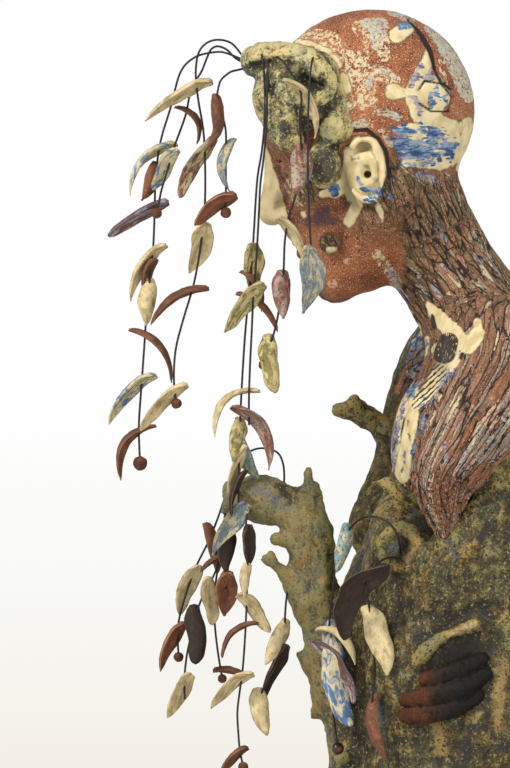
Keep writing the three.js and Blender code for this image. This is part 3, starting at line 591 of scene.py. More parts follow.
def headForms(clay):
    clay.press(egg((0, 0, 0), (head["width"] / 2, head["depth"] / 2, head["rise"]), True), 1)
    clay.press(egg((0, 22, -14), (44, 41, 36), True), 14)  # brow
    clay.press(egg((0, 24, -0.42 * chin), (38, 37, 46), True), 14)  # middle of the face
    clay.press(egg((0, 24, -0.72 * chin), (31, 30, 28), True), 12)  # mouth and jaw
    for side in (1, -1):  # jaw bone
        clay.press(coil([[40 * side, -4, -50, 15], [17 * side, 38, -0.86 * chin, 12]], True), 12)
    clay.press(egg((0, 42, -0.89 * chin), (14, 12, 12), True), 8)  # chin
    clay.press(bothSides(egg, (31, 40, -38), (13, 13, 10), inHead=True), 12)  # cheek bones
    clay.press(bothSides(egg, (18, 72, -25), (12, 14, 9), inHead=True), 8, hollow=True)  # eye hollows
    clay.press(bothSides(egg, (17, 50, -26), (12, 9, 7), inHead=True), 3)  # closed eyes
    for side in (1, -1):
        lid = [[7 * side, 58, -28, 0.8], [12 * side, 59.4, -30.4, 0.9], [19 * side, 58.6, -30.6, 0.9],
               [27 * side, 54, -27.6, 0.8]]
        clay.press(coil(lid, True, 3), 1.2, hollow=True)  # the line where the lids meet
        fold = [[7 * side, 58, -21, 0.6], [14 * side, 59, -18.4, 0.8], [22 * side, 56.6, -18.8, 0.8],
                [28 * side, 52, -22, 0.6]]
        clay.press(coil(fold, True, 3), 1.6, hollow=True)  # the fold above the upper lid
    clay.press(coil([[0, 60, -16, 5], [0, 70, -47, 8]], True), 8)  # nose
    clay.press(bothSides(egg, (7.5, 62, -51), (5.5, 7, 5), inHead=True), 4)  # wings of the nose
    clay.press(bothSides(egg, (4, 69, -55.4), (2, 3, 2.2), inHead=True), 1.5, hollow=True)  # nostrils
    clay.press(egg((0, 54, -68), (15, 8, 4), True), 4)  # upper lip
    clay.press(egg((0, 53, -75.5), (12.5, 8, 4.6), True), 3)  # lower lip
    parting = [[-13, 55, -71, 0.6], [-6, 60.6, -71.6, 0.8], [0, 62, -71, 0.9], [6, 60.6, -71.6, 0.8],
               [13, 55, -71, 0.6]]
    clay.press(coil(parting, True, 3), 1.2, hollow=True)
    clay.press(coil([[0, 63.5, -58, 0.9], [0, 62.4, -64, 1.2]], True), 2, hollow=True)  # under the nose


# The ear, in the photograph's plane: Y, Z and radius. Outer edge, the fold inside it and the hollows.
ear = {
    "rim": [(-47, 516, 1.8), (-41.5, 520, 2.6), (-35.5, 519.5, 3), (-31, 513.5, 3.2), (-29, 505, 3.2),
            (-28.6, 495, 3.4), (-29.6, 488, 3.8), (-34.5, 484.4, 3.4), (-41, 485.4, 2.4), (-46, 490, 1.6)],
    "fold": [(-43.5, 508.5, 2), (-38.5, 509.6, 3), (-34.6, 506, 2.2), (-33.8, 499, 1.8)],
    "hollows": [((-40.5, 515.4), (4.6, 3.8), 5), ((-38, 499.6), (4.6, 6.6), 4.5),
                ((-38.5, 492), (7.5, 4.6), 3), ((-32.6, 497), (1.8, 9), 2.2)],
}


def earForms(clay):
    for side in (1, -1):
        rim = side * (earCentre[0] + 4.5)
        clay.press(egg((side * (earCentre[0] - 2), -36.5, 502), (7.5, 11, 19)), 9)
        clay.press(coil([[rim + side * 0.8, y, z, r] for y, z, r in ear["rim"]], samples=3), 2.6)
        for place, radii, deep in ear["hollows"]:
            clay.press(egg((side * (earCentre[0] + 10.5 - deep), *place), (5, *radii)), 2.6, hollow=True)
        clay.press(coil([[rim - side * 0.4, y, z, r] for y, z, r in ear["fold"]], samples=3), 2.4)
        hole = [[side * (earCentre[0] - 8), -37.4, 500, 2.4],
                [side * (earCentre[0] + 12), -38.5, 499.5, 2.8]]
        clay.press(coil(hole), 1, hollow=True)


def strandedSkin(cell):
    clay = Clay((-134, -124, 246), (134, 116, 606), cell)
    headForms(clay)
    clay.press(egg((0, 55, 342), (92, 50, 66)), 1)  # back
    clay.press(egg((0, 25, 334), (78, 48, 60)), 16)  # chest
    clay.press(coil(trapezius) + coil([[-x, y, z, r] for x, y, z, r in trapezius]), 18)
    clay.press(coil(neck, samples=3), 9)
    clay.press(coil(arms, samples=3), 7)
    earForms(clay)
    disc = fromPixel(329, 243)
    clay.press(egg((38, *disc), (6, 6.4, 6.4)), 2)  # a clay disc pressed on the cheek
    clay.press(egg((46, *disc), (5, 3.4, 3.4)), 1.5, hollow=True)
    return clay


# Bark: the trunk, its limb, stubs, knots and roots. A level is its height, its middle's Y, half its width
# and half its depth.
barkForms = {"cell": 1.9, "quickCell": 3.2, "most": 190000}
trunkLevels = np.array([
    [0, 12, 123, 104], [30, 15, 112, 95], [80, 20, 104, 89], [144, 26, 106, 83], [200, 26, 110, 84],
    [250, 29, 113, 79], [290, 34, 112, 71], [320, 41, 107, 62], [352, 46, 94, 52]], float)
rimTurns = np.radians([-180, -130, -95, -62, -45, -22, -8, 0, 15, 60, 90, 130, 180])
rimHeights = [344, 350, 338, 320, 303, 284, 316, 331, 344, 350, 346, 346, 344]  # where the bark ends
rootRise = 90  # the roots fade out at this height


def trunkDistance(x, y, z):
    low = trunkLevels[:-1, 0]
    level = np.clip(np.searchsorted(low, z, side="right") - 1, 0, len(low) - 1)
    share = np.clip((z - trunkLevels[level, 0]) / (trunkLevels[level + 1, 0] - trunkLevels[level, 0]), 0, 1)
    share = 0.5 * share + 0.5 * share * share * (3 - 2 * share)
    middle, halfWidth, halfDepth = (
        trunkLevels[level, k] * (1 - share) + trunkLevels[level + 1, k] * share for k in (1, 2, 3))
    away = np.hypot(x / halfWidth, (y - middle) / halfDepth)
    turn = np.arctan2(y - middle, x)
    ridges = 2.2 * np.sin(5 * turn + z / 46) + 1.6 * np.sin(9 * turn - z / 31)
    lumps = 1.8 * np.sin(z / 13 + 3 * turn)
    roots = 7 * np.clip(1 - z / rootRise, 0, 1) * (np.sin(8 * turn + 0.6) - 0.6)
    wall = (away - 1) * np.minimum(halfWidth, halfDepth) - ridges - lumps - roots
    rim = np.interp(turn.ravel(), rimTurns, rimHeights).reshape(turn.shape)
    return carve(wall, rim + 2 * np.sin(7 * turn) - z, 14)


frontLimb = [
    [31, -32, 140, 25], [34, -43, 168, 19], [34, -55, 194, 16.5], [36, -61, 220, 15], [38, -70, 252, 14.5],
    [39, -72.6, 284, 13.4], [38, -82, 299, 13.2], [35, -100, 305.5, 14], [33, -117, 306.5, 11.5]]
stubs = [
    [[39, -72, 290, 10], [39, -73.5, 305, 6.2], [39, -74, 315, 3.4], [39, -73, 322, 1.8]],
    [[37, -71, 294, 7], [36, -68.4, 304, 4.6], [36, -69, 312, 3.2]],
    [[41, -74, 247, 8], [44, -85, 258, 4.6], [46, -92, 265, 3.6], [46.6, -97.5, 271, 4.2]],
    [[41, -80, 281, 6], [45, -88, 281.4, 3.6], [47, -93, 282, 2.8]], [[34, -66, 205, 9], [40, -80, 213, 2]],
    [[-90, -20, 342, 11], [-86, -33, 352, 6.8], [-84, -54, 358.5, 4.6]],
    [[-86, -36, 354, 6], [-80, -44.5, 363.5, 4.4]],
    [[34, -60, 188, 3], [35, -71, 176, 2]], [[54, -50, 158, 5], [57, -54, 151, 4]],
    [[-92, 40, 210, 20], [-112, 44, 228, 11], [-121, 46, 240, 8]], [[20, 96, 172, 18], [24, 112, 186, 9]]]
handLip = [[100, -15, 203, 1.6], [106, -5, 216, 2.4], [108.5, 10, 227, 3], [106.5, 24, 233, 3.6]]
knot = {"centre": (86, -18.6, 277), "radius": 11.5, "thick": 4.2}
rimRidges = [  # lips of bark against the skin, before and behind the arm's point
    [[76, -34, 316, 2.4], [85, -27, 315, 3.8], [91, -19, 307, 2.4]],
    [[104, 24, 315, 2.4], [106, 34, 326, 3.4], [104, 45, 334, 2.8]],
]


def barkedTrunk(cell):
    clay = Clay((-138, -128, 0), (138, 128, 372), cell)
    clay.press([(np.array([-140, -130, -5]), np.array([140, 130, 372]), trunkDistance)], 1)
    clay.press(coil(frontLimb, samples=3), 16)
    for stops in stubs:
        clay.press(coil(stops, samples=3), 6)
    for stops in rimRidges:
        clay.press(coil(stops, samples=3), 9)
    turns = np.linspace(0, 2 * math.pi, 17)
    across, up = Vector((-0.25, 0.968, 0)).normalized() * knot["radius"], Vector((0, 0, knot["radius"]))
    places = [Vector(knot["centre"]) + across * math.cos(t) + up * math.sin(t) for t in turns]
    clay.press(egg((knot["centre"][0] + 10, *knot["centre"][1:]), (12, 8, 8)), 3, hollow=True)
    clay.press(coil([[*place, knot["thick"]] for place in places]), 5)
    clay.press(egg((118, 13, 204), (16, 27, 29)), 4, hollow=True)  # niche for the hand
    clay.press(coil(handLip, samples=3), 6)
    clay.press(coil([[34, -107, 305.5, 5], [33, -126, 306.5, 7.5]]), 2.5, hollow=True)  # hollow limb end
    clay.press(coil([[46, -95, 268.5, 2], [47.5, -104, 277, 3.4]]), 1.5, hollow=True)
    return clay


burrForms = {"cell": 1.15, "quickCell": 2.2, "most": 110000}
burrCoils = [  # the bough over the brow and its side towards the ear
    [[45, -69, 563, 10], [47, -80, 565.5, 12], [43, -96, 567, 11], [34, -104, 567.5, 9.3]],
    [[44, -66, 562, 10], [45, -59.5, 549, 10], [44, -56, 528, 12]],
]
burrLumps = [((42, -84, 545), (20, 22, 23)), ((46, -64, 506), (13, 10.5, 15))]
burrHollows = [((65, -72, 556), (12, 7.5, 7)), ((63, -75, 533), (12, 8, 11)), ((57, -96, 554), (9, 8, 6)),
               ((62, -62, 542), (7, 4, 6))]
burrSlot = [[46, -107, 564, 2.6], [57, -95, 565.5, 3.4], [62, -84, 566, 3.2]]  # under the bough's lip
burrRidges = [  # the bough's thick upper lip, and the rim of the upper hollow
    [[37, -107, 570, 4.8], [46, -98, 571.6, 5.6], [53, -85, 572.2, 5.6], [55, -73, 569, 5]],
    [[56, -72, 567, 4], [60, -64, 562, 4.4], [59.5, -60, 553, 4], [57, -63, 547, 3.6]],
    [[56, -92, 556, 4], [60, -84, 547, 3.6], [59, -76, 544, 3.4], [58, -66, 545, 3.4]],
]
burrKnobs = [((58, -68, 561), (6, 4.5, 5.5)), ((55, -59, 527), (6, 6.5, 7.5)),
             ((51, -88, 530), (9, 11, 13)), ((46, -98, 549), (7, 6, 9)), ((53, -72, 537), (6, 6, 4)),
             ((52, -84, 519), (7, 8, 6))]


def browBurr(cell):
    clay = Clay((8, -136, 478), (84, -20, 598), cell)
    for stops in burrCoils:
        clay.press(coil(stops, samples=3), 5)
    for centre, radii in burrLumps:
        clay.press(egg(centre, radii), 5)
    for centre, radii in burrHollows:
        clay.press(egg(centre, radii), 4, hollow=True)
    for stops in burrRidges:
        clay.press(coil(stops, samples=3), 6)
    clay.press(coil(burrSlot, samples=3), 3, hollow=True)
    for centre, radii in burrKnobs:
        clay.press(egg(centre, radii), 5.5)
    return clay


handForms = {"cell": 0.85, "quickCell": 1.6, "most": 60000}
fingers = [[[96, -8, 199, 5.2], [107.5, 2, 200.8, 5.5], [109.5, 16, 205.5, 5.5], [106.5, 29, 212, 4.3]],
           [[95, -15, 188, 5.5], [108.5, -2, 189.8, 5.8], [111, 15, 194.5, 5.7], [106.5, 31, 203.5, 4.8]],
           [[95, -15, 178.6, 5.2], [107.5, -2, 179.8, 5.6], [109, 13, 183.4, 5.5], [105, 27, 190.5, 4.6]]]


def restingHand(cell):
    clay = Clay((80, -40, 158), (126, 50, 232), cell)
    clay.press(egg((88, -8, 189), (11, 11, 15)), 1)
    for stops in fingers:
        clay.press(coil(stops, samples=4), 0.8)
        for x, y, z, r in stops[1:3]:
            clay.press(egg((x + 0.9, y, z), (r * 0.95, r * 0.7, r * 0.94)), 3)  # knuckles
        for x, y, z, r in stops[1:3]:
            for step in (-4.5, -1.5, 1.5, 5):
                crease = [[x + r + 1, y + step, z - 4, 0.6], [x + r + 1.4, y + step, z, 0.8],
                          [x + r + 1, y + step, z + 4, 0.6]]
                clay.press(coil(crease), 1, hollow=True)
    return clay


# The way the strands of clay run: along the neck, down the back and along each arm
flowLines = {
    "neck": {"stops": [[0, -26, 522, 34], [0, 4, 453, 31], [0, 27, 412, 34], [0, 42, 372, 46]],
             "across": 6.6, "long": 30, "claim": 0},
    "nearArm": {"stops": [[6, 14, 440, 30], [30, 46, 398, 32], [66, 42, 391, 31],
                          [100, 38, 370, 29], [104, 22, 343, 24], [104, 7, 317, 18], [102, 8, 288, 9]],
                "across": 5.4, "long": 40, "claim": 6},
    "farArm": {"stops": [[-6, 14, 440, 30], [-30, 40, 398, 32], [-68, 22, 394, 30], [-100, 10, 381, 28],
                         [-97, -4, 350, 24], [-88, -10, 320, 24]], "across": 5.4, "long": 40, "claim": 6},
    "back": {"stops": [[0, 40, 400, 46], [0, 50, 340, 60], [0, 50, 300, 66]],
             "across": 11, "long": 40, "claim": 0},
}


def guideFrames(centres):  # a tangent and a normal at each point of a line, without twist
    tangents = np.gradient(centres, axis=0)
    tangents /= np.linalg.norm(tangents, axis=1)[:, None]
    normals = np.empty_like(tangents)
    last = np.array([1.0, 0.3, 0.2])
    for i, tangent in enumerate(tangents):
        last = last - last.dot(tangent) * tangent
        last /= np.linalg.norm(last)
        normals[i] = last
    return tangents, normals


def flowOf(points):  # where a point lies across and along the nearest line
    batch = 20000
    nearest = np.full(len(points), 1e6, np.float32)
    flow = np.zeros((len(points), 3), np.float32)
    for shift, guide in enumerate(flowLines.values()):
        line = smoothLine(guide["stops"], 8)
        centres, radii = line[:, :3], line[:, 3]
        tangents, normals = guideFrames(centres)
        walked = np.concatenate([[0], np.cumsum(np.linalg.norm(np.diff(centres, axis=0), axis=1))])
        for begin in range(0, len(points), batch):
            some = slice(begin, begin + batch)
            away = np.linalg.norm(points[some, None] - centres[None], axis=2)
            pick = np.argmin(away, axis=1)
            reach = away[np.arange(len(pick)), pick] - radii[pick] - guide["claim"]
            offset = points[some] - centres[pick]
            binormals = np.cross(tangents[pick], normals[pick])
            along = walked[pick] + (offset * tangents[pick]).sum(axis=1)
            place = np.stack([(offset * normals[pick]).sum(axis=1) / radii[pick] * guide["across"],
                              (offset * binormals).sum(axis=1) / radii[pick] * guide["across"],
                              along / guide["long"] + 17 * shift], axis=1)
            closer = reach < nearest[some]
            nearest[some][closer] = reach[closer]
            flow[some][closer] = place[closer]
    return flow


# Patches of slip and colour on the skin, as strokes of pixel x, pixel y and half width in pixels
patches = {
    "slip": [
        [(396, 36, 8), (403, 31, 8), (411, 27, 5)], [(392, 93, 9), (404, 94, 5)],
        [(426, 48, 1.5), (428, 58, 5), (422, 74, 8), (416, 94, 13), (418, 116, 9), (432, 122, 9),
         (456, 128, 7)],
        [(432, 84, 8), (442, 98, 9), (436, 108, 8)], [(398, 131, 5), (424, 132, 9), (452, 136, 9)],
        [(402, 146, 8), (426, 150, 13), (452, 148, 11)], [(406, 163, 5), (440, 164, 7), (456, 156, 8)],
        [(468, 122, 6), (466, 148, 7), (460, 168, 4)],
        [(358, 146, 9), (370, 150, 12), (374, 172, 13), (366, 192, 13)],
        [(356, 166, 6), (350, 178, 10), (354, 194, 10)], [(346, 184, 9), (336, 192, 7), (322, 195, 4)],
        [(357, 206, 6), (348, 222, 6)], [(378, 208, 4), (382, 222, 2)], [(304, 214, 4)],
        [(428, 305, 4), (438, 318, 8), (453, 334, 9)], [(475, 322, 4), (475, 334, 7), (465, 347, 8)],
        [(456, 340, 9), (447, 362, 9), (438, 376, 8), (424, 396, 7), (416, 408, 4)], [(440, 350, 9)],
        [(428, 338, 3), (423, 354, 5), (414, 370, 4)], [(413, 388, 6)],
        [(411, 396, 9), (407, 418, 11), (401, 447, 10.5), (399, 474, 11)], [(347, 152, 4), (346, 172, 5)],
        [(355, 154, 6)], [(408, 497, 5), (404, 508, 5)], [(400, 168, 1), (426, 187, 0.7)],
        [(424, 168, 1), (433, 189, 0.7)], [(432, 166, 1), (450, 176, 0.7)],
        [(457, 188, 1.6), (461, 206, 1.2)],
        [(256, 138, 7), (260, 162, 12), (266, 194, 16), (271, 220, 18), (275, 240, 13), (286, 262, 8)],
        [(297, 41, 3), (314, 45, 3), (329, 54, 4), (338, 66, 5)], [(343, 78, 5), (346, 92, 5)],
        [(348, 106, 4)], [(300, 300, 5), (316, 292, 4)], [(328, 251, 3.5), (334, 250, 3)],
    ],
    "cobalt": [
        [(390, 131, 2), (404, 134, 3.4), (420, 132, 2.4), (434, 137, 1.2)],
        [(416, 122, 1.4), (430, 127, 2), (446, 131, 1.2)],
        [(392, 141, 2.4), (410, 144, 3.4), (428, 141, 2)],
        [(430, 134, 1.6), (446, 139, 2.2), (457, 137, 1.2)],
        [(396, 150, 2.6), (414, 151, 3.4), (436, 147, 2.8), (456, 145, 3)],
        [(424, 146, 1.2), (441, 137, 1.6)],
        [(398, 158, 2.4), (416, 158, 3), (438, 155, 2.4), (453, 152, 1.8)],
        [(404, 125, 1.4), (399, 137, 1.8)],
        [(400, 165, 1.6), (420, 166, 2.2), (440, 162, 1.8), (452, 161, 1.2)],
        [(425, 89, 1.6), (431, 96, 2.8)], [(437, 86, 1.4), (436, 95, 2.4)],
        [(449, 92, 1.4), (442, 98, 2.4)], [(449, 105, 1.2), (442, 103, 2.2)],
        [(430, 109, 1.4), (434, 103, 2.4)], [(422, 99, 1.2), (430, 100, 2)],
        [(357, 180, 2), (362, 188, 2.6), (369, 192, 1.8)],
        [(371, 185, 1.6), (377, 191, 1.8), (380, 198, 1.4)], [(364, 200, 1.4), (374, 204, 1.2)],
        [(391, 177, 2.6), (390, 190, 2.8), (388, 199, 1.6)],
        [(426, 410, 1.6), (420, 426, 2.4), (416, 438, 1.8)],
        [(417, 440, 1.6), (412, 452, 2), (410, 463, 1.2)], [(424, 396, 1.6), (419, 409, 1.8)],
        [(417, 378, 2.6), (410, 392, 2.6)], [(441, 382, 2), (434, 396, 2.2), (429, 406, 1.2)],
        [(447, 371, 1.6), (441, 382, 1.8)], [(444, 268, 1.6), (452, 273, 1.8), (457, 277, 1.4)],
        [(329, 186, 3), (334, 193, 4)],
    ],
    "azure": [
        [(334, 189, 6)], [(400, 27, 4), (412, 25, 3)], [(408, 386, 6), (412, 394, 4)],
        [(372, 196, 5), (382, 190, 3)], [(258, 226, 4), (264, 234, 5)],
    ],
    "lavender": [
        [(421, 66, 2.6), (414, 78, 3.4), (410, 90, 2)], [(430, 70, 2.4), (424, 82, 2.6)],
        [(412, 96, 2.4), (418, 108, 3.4), (420, 116, 2)], [(402, 92, 1.6), (408, 98, 2.6)],
        [(436, 76, 1.6), (428, 82, 2.2)], [(443, 384, 2.6), (452, 371, 2)],
        [(404, 402, 1.6), (398, 424, 2), (394, 450, 2.6), (392, 468, 2)],
        [(405, 452, 1.4), (402, 470, 1.8)], [(426, 342, 3), (418, 362, 3)],
        [(418, 382, 2), (407, 397, 2.4)], [(455, 352, 1.8), (468, 366, 2)],
        [(440, 436, 1.4), (444, 466, 2)], [(462, 450, 1.4), (456, 480, 2)],
        [(388, 268, 2), (400, 288, 2.6), (408, 300, 2)], [(432, 286, 2.4), (440, 298, 2)],
        [(472, 246, 2), (482, 262, 2)], [(436, 224, 2), (448, 246, 2)],
        [(418, 176, 4), (432, 180, 5), (440, 186, 3)],
    ],
    "sky": [
        [(366, 24, 6), (380, 26, 9), (376, 38, 7)], [(372, 50, 2), (384, 46, 2.5)],
        [(372, 68, 3), (384, 72, 4), (393, 78, 3)], [(368, 80, 4), (370, 92, 3)],
        [(374, 114, 3), (386, 114, 4), (400, 120, 4)], [(390, 12, 3), (402, 15, 5), (412, 20, 3)],
        [(428, 28, 4), (440, 42, 6), (456, 66, 9), (466, 92, 8)], [(352, 126, 3), (368, 122, 4)],
        [(380, 132, 3), (390, 146, 3)], [(476, 232, 4), (492, 262, 4), (503, 280, 3)],
        [(448, 266, 4), (452, 276, 3)], [(418, 286, 3), (426, 298, 4)], [(488, 439, 6)],
        [(503, 412, 5), (499, 426, 4)], [(410, 262, 3), (418, 276, 3)],
    ],
    "blush": [
        [(490, 402, 6), (486, 420, 7)], [(508, 320, 4), (500, 336, 4)], [(468, 408, 4)], [(346, 262, 3.5)],
        [(356, 247, 2.5)], [(332, 284, 5)],
    ],
    "plum": [[(322, 217, 12)], [(332, 222, 8)], [(310, 222, 6)], [(284, 176, 5), (286, 200, 5)]],
    "chalk": [
        [(300, 36, 9), (328, 40, 10), (350, 66, 11), (356, 104, 10)],
        [(366, 40, 3), (362, 60, 6), (368, 92, 8)], [(350, 92, 9), (374, 106, 5)],
        [(262, 110, 6), (262, 130, 6)], [(290, 186, 8), (300, 200, 7)], [(440, 60, 2), (444, 84, 4)],
        [(356, 127, 3), (372, 127, 3)], [(360, 28, 8), (380, 40, 9), (384, 58, 6)],
        [(436, 36, 5), (456, 64, 7), (468, 96, 7)], [(376, 254, 5), (392, 276, 6), (404, 298, 5)],
        [(378, 76, 7), (396, 82, 5)],
    ],
    "print": [[(447, 342, 9), (443, 354, 10)]],
    "hatch": [[(438, 372, 8), (418, 404, 7)]],
    "stain": [
        [(432, 316, 2), (434, 327, 2.4)], [(460, 353, 1.6), (457, 360, 1.8)],
        [(396, 438, 0.8), (393, 452, 1)], [(407.5, 420, 0.9), (410, 420.5, 0.9)],
        [(407.5, 427, 0.9), (410, 427.5, 0.9)], [(407, 434, 0.9), (409.5, 434.5, 0.9)],
        [(406.5, 441, 0.9), (409, 441.5, 0.9)],
    ],
    "crease": [
        [(408, 19, 1.2), (421, 35, 2.2), (430, 52, 2.6), (434, 69, 1.6), (440, 82, 1.3), (450, 90, 1)],
        [(350, 132, 1.6), (366, 131, 1.8), (378, 140, 1.8), (386, 154, 1.8), (388, 180, 1.3)],
        [(418, 91, 0.7), (424, 82, 0.9), (440, 84, 0.9), (452, 98, 0.9), (448, 112, 0.9), (430, 112, 0.8),
         (418, 104, 0.7)],
        [(393, 472, 0.8), (408, 400, 0.8), (418, 376, 0.7)], [(415, 472, 1), (419, 500, 1), (432, 524, 1)],
    ],
}
farSide = {"shiftY": 16, "shiftZ": -22, "wrap": 0.6}  # the far side has the same patches, moved a little


# The far arm shows beyond the chest: the bark's ash runs up its edge, with painted clay inside it.
farArm = {
    "past": -25,
    "ash": [[(422, 322, 3), (404, 352, 6), (392, 385, 9), (388, 412, 14), (384, 446, 15), (374, 490, 18),
             (362, 534, 20)]],
    "lavender": [[(434, 330, 4), (424, 350, 5), (414, 374, 4)], [(412, 350, 2), (405, 368, 2.4)]],
    "plum": [[(414, 336, 4), (404, 358, 4)], [(410, 380, 4), (404, 396, 5)]],
}


def strokeDepth(y, z, strokes):  # mm inside strokes given in the photograph's pixels
    deepest = np.full(len(y), -40.0, np.float32)
    for stroke in strokes:
        stops = [(*fromPixel(px, py), r * photo["pixel"]) for px, py, r in stroke]
        for (ay, az, ar), (by, bz, br) in zip(stops, stops[1:] or stops):
            dy, dz = by - ay, bz - az
            t = np.clip(((y - ay) * dy + (z - az) * dz) / max(dy * dy + dz * dz, 1e-6), 0, 1)
            inside = ar + (br - ar) * t - np.hypot(y - ay - t * dy, z - az - t * dz)
            deepest = np.maximum(deepest, inside)
    return deepest


def patchDepth(points, strokes):  # on both sides of the figure
    x, y, z = (points[:, k] for k in range(3))
    near = strokeDepth(y, z, strokes) - np.maximum(-x, 0) * farSide["wrap"]
    far = strokeDepth(y + farSide["shiftY"], z + farSide["shiftZ"], strokes)
    return np.maximum(near, far - np.maximum(x, 0) * farSide["wrap"])


def headDistance(points):
    x, y, z = (points[:, k] for k in range(3))
    place = toHead(x, y, z)
    skull = eggDistance(*place, (0, 0, 0), (head["width"] / 2, head["depth"] / 2, head["rise"]))
    face = eggDistance(*place, (0, 24, -0.42 * chin), (40, 39, 48))
    jaw = eggDistance(*place, (0, 24, -0.72 * chin), (36, 34, 32))
    bone = coilDistance(np.abs(x), *place[1:], [40, -4, -50, 9], [17, 38, -0.86 * chin, 14])
    return join(join(join(skull, face, 14), jaw, 12), bone, 4)


def sharp(tree, value, edge, soft):  # 0 below the edge, 1 above, over a soft width
    return addNode(tree, "MapRange",
                   Value=value, From_Min=edge - soft, From_Max=edge + soft, interpolation_type="SMOOTHSTEP")


def strandGaps(tree):
    # Distance from the scored grooves between the strands, 0 in a groove, and a colour for each strand
    flow = readField(tree, "flow", True)
    wander = addNode(tree, "TexNoise", Vector=flow, Scale=1.3, Detail=1)
    shift = addNode(tree, "VectorMath", wander.outputs["Color"], (0.5, 0.5, 0.5), operation="SUBTRACT")
    bent = addNode(tree, "VectorMath", shift, (0.9, 0.9, 0.5), flow, operation="MULTIPLY_ADD")
    gap = addNode(tree, "TexVoronoi", Vector=bent, Scale=1.0, feature="DISTANCE_TO_EDGE")
    cell = addNode(tree, "TexVoronoi", Vector=bent, Scale=1.0, feature="F1")
    return gap, cell.outputs["Color"], bent


skinRelief = {"groove": 1.0, "grooveWidth": 0.065, "swell": 0.5, "patch": 0.35, "crease": 1.4, "hand": 0.35}


def skinHeight(tree):
    gap, _, _ = strandGaps(tree)
    groove = addNode(tree, "MapRange", Value=gap, From_Max=skinRelief["grooveWidth"] * 1.5,
                     To_Min=-skinRelief["groove"], To_Max=0.0, interpolation_type="SMOOTHSTEP")
    swell = addNode(tree, "MapRange",
                    Value=gap, From_Max=0.4, To_Max=skinRelief["swell"], interpolation_type="SMOOTHERSTEP")
    strand = addNode(tree, "ADD", groove, swell)
    scored = addNode(tree, "MULTIPLY", strand, readField(tree, "strand"))
    crease = addNode(tree, "MapRange", Value=readField(tree, "crease"), From_Min=-1.2,
                     From_Max=0.6, To_Max=-skinRelief["crease"], interpolation_type="SMOOTHSTEP")
    slip = addNode(tree, "MapRange",
                   Value=readField(tree, "slip"), From_Min=-0.6, From_Max=0.8, To_Max=skinRelief["patch"])
    place = addNode(tree, "GeometryNodeInputPosition")
    dents = addNode(tree, "TexNoise", Vector=place, Scale=perMm(16), Detail=3)
    pressed = addNode(tree, "MapRange", Value=dents,
                      From_Min=0.3, From_Max=0.7, To_Min=-skinRelief["hand"], To_Max=skinRelief["hand"])
    total = scored
    for part in (crease, slip, pressed):
        total = addNode(tree, "ADD", total, part)
    return total


barkRelief = {"lump": 1.5, "lumpSize": 30, "furrow": 0.9, "furrowSize": 11, "pit": 0.35, "pitSize": 3.5}


def barkHeight(tree, sizes):
    place = addNode(tree, "GeometryNodeInputPosition")
    tall = addNode(tree, "VectorMath", place, (1, 1, 0.38), operation="MULTIPLY")
    lumps = addNode(tree, "TexNoise", Vector=place, Scale=perMm(sizes["lumpSize"]), Detail=2,
                    Distortion=0.6)
    furrows = addNode(tree, "TexNoise", Vector=tall, Scale=perMm(sizes["furrowSize"]), Detail=4,
                      Distortion=0.8)
    pits = addNode(tree, "TexVoronoi", Vector=place, Scale=perMm(sizes["pitSize"]), feature="SMOOTH_F1")
    total = 0.0
    for source, low, part in ((lumps, 0.3, "lump"), (furrows, 0.35, "furrow"), (pits, 0.1, "pit")):
        moved = addNode(tree, "MapRange", Value=source, From_Min=low, From_Max=0.7,
                        To_Min=-sizes[part], To_Max=sizes[part])
        total = addNode(tree, "ADD", total, moved)
    height = addNode(tree, "SeparateXYZ", place).outputs["Z"]
    offFloor = addNode(tree, "MapRange", Value=height, From_Max=8 * mm)
    return addNode(tree, "MULTIPLY", total, offFloor)


def makeClay(name, build, sizes, relief):
    points, quads = build(sizes["cell"]).surface()
    piece = clayPiece(name, points, quads)
    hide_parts("figure")
    relief(piece)
    thinOut(piece, sizes["most"])
    print(name, len(piece.data.polygons), "faces")
    return piece


def makeBark(name, build, sizes, relief, rounds):
    bump = lambda piece: pressRelief(piece, lambda tree: barkHeight(tree, relief))
    piece = makeClay(name, build, sizes, bump)
    writeField(piece.data, "hollow", hollowness(piece.data, rounds))
    return piece


def reliefOnSkin(piece):
    mesh = piece.data
    points = pointsOf(mesh)
    writeField(mesh, "flow", flowOf(points))
    slip = patchDepth(points, patches["slip"])
    onNeck = np.clip((headDistance(points) - 1) / 5, 0, 1)
    writeField(mesh, "strand", onNeck * np.clip(-slip / 1.5, 0, 1))
    writeField(mesh, "slip", slip)
    writeField(mesh, "crease", patchDepth(points, patches["crease"]))
    pressRelief(piece, skinHeight)


skin = makeClay("stranded_skin", strandedSkin, skinForms, reliefOnSkin)
skinMesh = skin.data
skinPoints = pointsOf(skinMesh)
for layer in ("flow", "strand", "slip", "crease"):
    skinMesh.attributes.remove(skinMesh.attributes[layer])
for layer, strokes in {"ash": [], **patches}.items():
    depth = patchDepth(skinPoints, strokes)
    if layer in farArm:
        beyond = strokeDepth(skinPoints[:, 1], skinPoints[:, 2], farArm[layer])
        depth = np.maximum(depth, np.minimum(beyond, farArm["past"] - skinPoints[:, 0]))
    writeField(skinMesh, layer, depth)
writeField(skinMesh, "flow", flowOf(skinPoints))
writeField(skinMesh, "strand", np.clip((headDistance(skinPoints) - 1) / 5, 0, 1))
writeField(skinMesh, "hollow", hollowness(skinMesh, 6))

